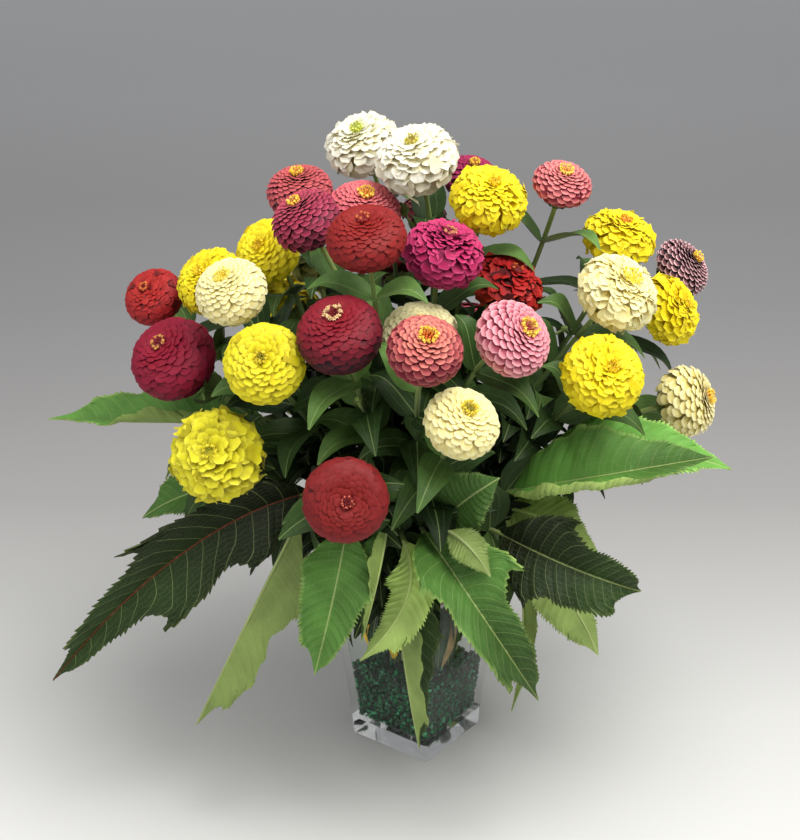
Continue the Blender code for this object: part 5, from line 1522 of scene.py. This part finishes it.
def make_chips(mat, stems):
    """Crushed green glass: the outer shell of the CAD's heap, with room for every stem."""
    rng = np.random.default_rng(CHIP_SEED)
    pitch, shell = CHIP_PITCH, 2.6 * CHIP_PITCH
    spots = []
    for layer in range(CHIP_LAYERS):
        z = FLOOR + 2.6 * MM + layer * 0.78 * pitch
        half = outer_side(z) / 2 - WALL - 2.1 * MM
        n = int(2 * half / pitch) + 1
        for i, j in np.ndindex(n, n):
            x, y = (-half + 2 * half * k / (n - 1) + rng.uniform(-0.3, 0.3) * pitch * (0 < k < n - 1)
                    for k in (i, j))
            top = chips_height(x / half, y / half) - 1.5 * MM
            if z < top and (max(abs(x), abs(y)) > half - shell or z > top - shell):
                spots.append((*turned(x, y), z))
    spots = np.array(spots) + rng.uniform(-0.2, 0.2, (len(spots), 3)) * pitch * np.array([0, 0, 1])
    near = np.linalg.norm(spots[:, None, :2] - stems[None, :, :2], axis=2) < stems[None, :, 3] + 2.2 * MM
    above = spots[:, None, 2] > stems[None, :, 2] - 2 * MM
    spots = spots[~(near & above).any(axis=1)]
    # each chip is a rough eight-cornered lump, flattened and turned its own way
    corners = 2.0 * np.array(list(np.ndindex(2, 2, 2))) - 1
    faces = np.array([(0, 1, 3, 2), (4, 6, 7, 5), (0, 4, 5, 1), (2, 3, 7, 6), (0, 2, 6, 4), (1, 5, 7, 3)])
    n = len(spots)
    lumps = corners[None] * (1 + rng.uniform(-0.45, 0.25, (n, 8, 3)))
    lumps *= rng.uniform(0.55, 1.0, (n, 1, 3)) * 0.50 * pitch
    q = rng.normal(0, 1, (n, 4))
    w, x, y, z = (q / np.linalg.norm(q, axis=1, keepdims=True)).T
    spin = np.stack([np.stack([1 - 2 * (y * y + z * z), 2 * (x * y - z * w), 2 * (x * z + y * w)], -1),
                     np.stack([2 * (x * y + z * w), 1 - 2 * (x * x + z * z), 2 * (y * z - x * w)], -1),
                     np.stack([2 * (x * z - y * w), 2 * (y * z + x * w), 1 - 2 * (x * x + y * y)], -1)], 1)
    verts = np.einsum("nij,nkj->nki", spin, lumps) + spots[:, None]
    tint = linear(28, 104, 62) * rng.uniform(0.15, 1.2, (n, 1))
    # painted glints: about one chip in ten is painted bright green, and some brighter still, for the sparkle of
    # light in the glass; a quarter are near black
    luck = rng.uniform(0, 1, n)
    tint[luck > 0.90] = linear(26, 140, 84)
    tint[luck > 0.97] = linear(70, 160, 116)
    tint[luck < 0.25] = linear(8, 26, 14)
    step = np.arange(n)[:, None, None] * 8
    skin = Skin()
    triangles = np.concatenate([faces[:, [0, 1, 2]], faces[:, [0, 2, 3]]])
    tones = np.repeat(tint, len(triangles), axis=0)[:, None]
    skin.add(verts.reshape(-1, 3), (triangles + step).reshape(-1, 3), tones)
    return skin.build("glass_chip_heap", [mat], smooth=False)


# ---- the stage
# painted light and shade: the paper darkens away from the front and pales again behind, as the lamps' light
# falls on it: how far back (m), and its tone there
STAGE_PAINTED_LIGHT = (
    (-0.20, (210, 210, 208)), (0.02, (204, 204, 202)), (0.24, (184, 184, 182)), (0.50, (162, 161, 160)),
    (0.80, (153, 152, 152)), (1.25, (150, 150, 151)), (1.90, (158, 158, 159)), (2.90, (182, 183, 184)),
    (4.70, (206, 207, 209)),
)


def make_stage():
    """A pale paper sweep that lies flat, then rises far behind."""
    skin = Skin()
    bend, radius = 5.0, 2.5
    line = [(-4.0, 0.0), (-1.0, 0.0), (0.0, 0.0), (1.0, 0.0), (3.0, 0.0)]
    line += [(bend + radius * math.sin(a), radius * (1 - math.cos(a)))
             for a in np.linspace(0, math.pi / 2, 14)]
    line += [(bend + radius, 6.0)]
    x = np.array([-6.0, -2.0, 2.0, 6.0])
    verts = np.array([[[px, y, z - 0.0002] for px in x] for y, z in line])
    grid = np.arange(len(line) * 4).reshape(len(line), 4)
    skin.add(verts.reshape(-1, 3), cells(grid), np.ones(3))
    n = Nodes("paper")
    spot = n.node("SeparateXYZ", {0: n.node("TexCoord").outputs["Object"]})
    # painted light and shade: the paper's colour follows how far back it lies
    colour = linear(*STAGE_PAINTED_LIGHT[0][1])
    for (near, _), (far, tone) in zip(STAGE_PAINTED_LIGHT, STAGE_PAINTED_LIGHT[1:]):
        share = n.node("MapRange", {0: spot.outputs[1], 1: near, 2: far}).outputs[0]
        colour = n.mix(share, colour, linear(*tone))
    n.set(Base_Color=colour, Roughness=0.9, Specular_IOR_Level=0.1)
    obj = skin.build("paper_sweep", [n.mat])


def make_world():
    world = bpy.data.worlds.new("studio")
    world.use_nodes = True
    light = world.node_tree.nodes["Background"].inputs
    light["Color"].default_value = (0.98, 0.98, 1.0, 1)
    light["Strength"].default_value = 0.46
    SCENE.world = world


# ---- building it all
VELVET_SHEEN = {"red": (1.0, 0.35, 0.3), "orange_red": (1.0, 0.4, 0.25), "crimson": (1.0, 0.25, 0.45),
                "magenta": (1.0, 0.5, 0.8)}
TRANSLUCENT = {"ivory", "cream", "yellow", "lemon"}
# lamps: name, where, what they point at, size (m), power (W) and colour
LAMPS = (
    ("key", (0.85, -0.95, 2.25), (0.02, 0, 0.36), 1.8, 49, (1.0, 0.985, 0.955)),
    ("fill", (-1.3, -1.2, 1.5), (-0.1, 0, 0.1), 1.8, 14, (1.0, 0.99, 0.97)),
    ("top", (0.40, -0.25, 2.3), (0, 0, 0.4), 1.4, 22, (1.0, 0.99, 0.97)),
)


def make_blooms(blooms, bract):
    florets = floret_material()
    petals = {}
    for name, colour, middle, axis, radius in blooms:
        if colour not in petals:
            sheen = 0.08 if colour in VELVET_SHEEN else 0.04
            tint = VELVET_SHEEN.get(colour, (1, 1, 1))
            glow = 0.35 if colour in TRANSLUCENT else 0.0
            petals[colour] = petal_material("petal_" + colour, sheen, tint, glow)
        obj = make_bloom(name, middle, axis, radius, LOOKS[name], [petals[colour], florets, bract])
        finish_piece(obj, "petals_" + colour, "bloom_" + name)


def make_sheaf(node, starts, routes, axes, leaves, solids, mats, rng):
    """One sheaf's stems with all their leaves and buds: where each stem stands in the chips."""
    skin = Skin()
    for start, route, axis in zip(starts, routes, axes):
        add_stem(skin, start, route, axis, STEM * rng.uniform(0.88, 1.0))
    for way in leaves:
        add_small_leaf(skin, *way, rng)
    for route in routes:
        add_crowd(skin, route, STEM, solids, rng)
    if node == "stems_front":
        add_sunken_leaves(skin, rng)
    for sheaf, which, share, spot, size in BUDS:
        if sheaf == node:
            foot, bud = on_line(routes[which], share), np.array(spot) * CM
            lean = unit(bud - foot + 10 * MM * UP)
            way = [foot, foot + 0.4 * (bud - foot), bud - 12 * MM * lean, bud]
            skin.tube(bezier(way, np.linspace(0, 1, 8)), np.full(8, BUD_STALK), 6, STEM_PALE)
            add_bud(skin, bud, lean, size, rng)
    finish_piece(skin.build(node + "_fine", mats), "stem_green", node)
    return [(*start[:2], SHEAF_FOOT, STEM) for start in starts]


def make_foliage(node, leaves, routes, solids, mats, rng):
    """One node's large leaves on their stalks: where the first stalk stands in the chips."""
    skin = Skin()
    tones = dict(enumerate(PAINTED_LEAF_LIGHT.get(node, ())))
    for i, leaf in enumerate(MORE_LEAVES.get(node, ()), len(leaves)):
        add_large_leaf(skin, leaf, tones[i], 0, False, rng)
    for i, (route, leaf) in enumerate(zip(routes, leaves)):
        first = i == 0
        add_stalk(skin, route, first, PETIOLE)
        if first:
            add_crowd(skin, route, PETIOLE, solids, rng, slot=2)
        roll = ROLLS.get(node, 0) if first else 0
        add_large_leaf(skin, leaf, tones.get(i, PLAIN_TONES), roll, node == RED_RIBBED, rng)
    finish_piece(skin.build(node + "_fine", mats), "leaf_green", node)
    return [(*routes[0][0][:2], PETIOLE_FOOT, PETIOLE)]


def main():
    make_stage()
    make_world()
    for lamp in LAMPS:
        add_light(*lamp)

    blooms, sheaves, leafy, foliage, solids = plan()
    solids = [np.vstack(solids)]
    vein = linear(184, 198, 130)
    bract = green_material("bract", 0.6, 0.0, 0.0, linear(140, 152, 92), 200.0)
    small_green = green_material("zinnia_leaf", 0.5, 0.7, 0.05, linear(140, 160, 96), 60.0)
    cut_green = green_material("cut_leaf", 0.56, 0.85, 0.08, vein, 30.0, ladder=0.25)
    red_green = green_material("red_ribbed_leaf", 0.56, 0.85, 0.08, vein, 30.0, linear(150, 70, 54), 0.25)
    stem_green = stem_material()
    make_blooms(blooms, bract)

    rng = np.random.default_rng(LEAF_SEED)
    stems = []
    for sheaf, leaves in zip(sheaves, leafy):
        stems += make_sheaf(*sheaf, leaves, solids, [stem_green, small_green], rng)
    for node, leaves, routes in foliage:
        mats = [stem_green, red_green if node == RED_RIBBED else cut_green, small_green]
        stems += make_foliage(node, leaves, routes, solids, mats, rng)

    wall = clear_material("vase_glass", (0.98, 0.99, 0.98), WALL_IOR, (0.95, 0.97, 0.96))
    water = clear_material("water", (0.95, 0.99, 0.95), WATER_IOR, (0.96, 0.98, 0.96))
    foot = clear_material("vase_foot_glass", (0.98, 0.99, 0.97), FOOT_IOR, (0.95, 0.97, 0.96))
    finish_piece(make_vase([wall, foot]), "vase_glass", "vase")
    finish_piece(make_water(water), "water", "water")
    finish_piece(make_chips(chip_material(), np.array(stems)), "green_glass_chips", "glass_chips")


main()
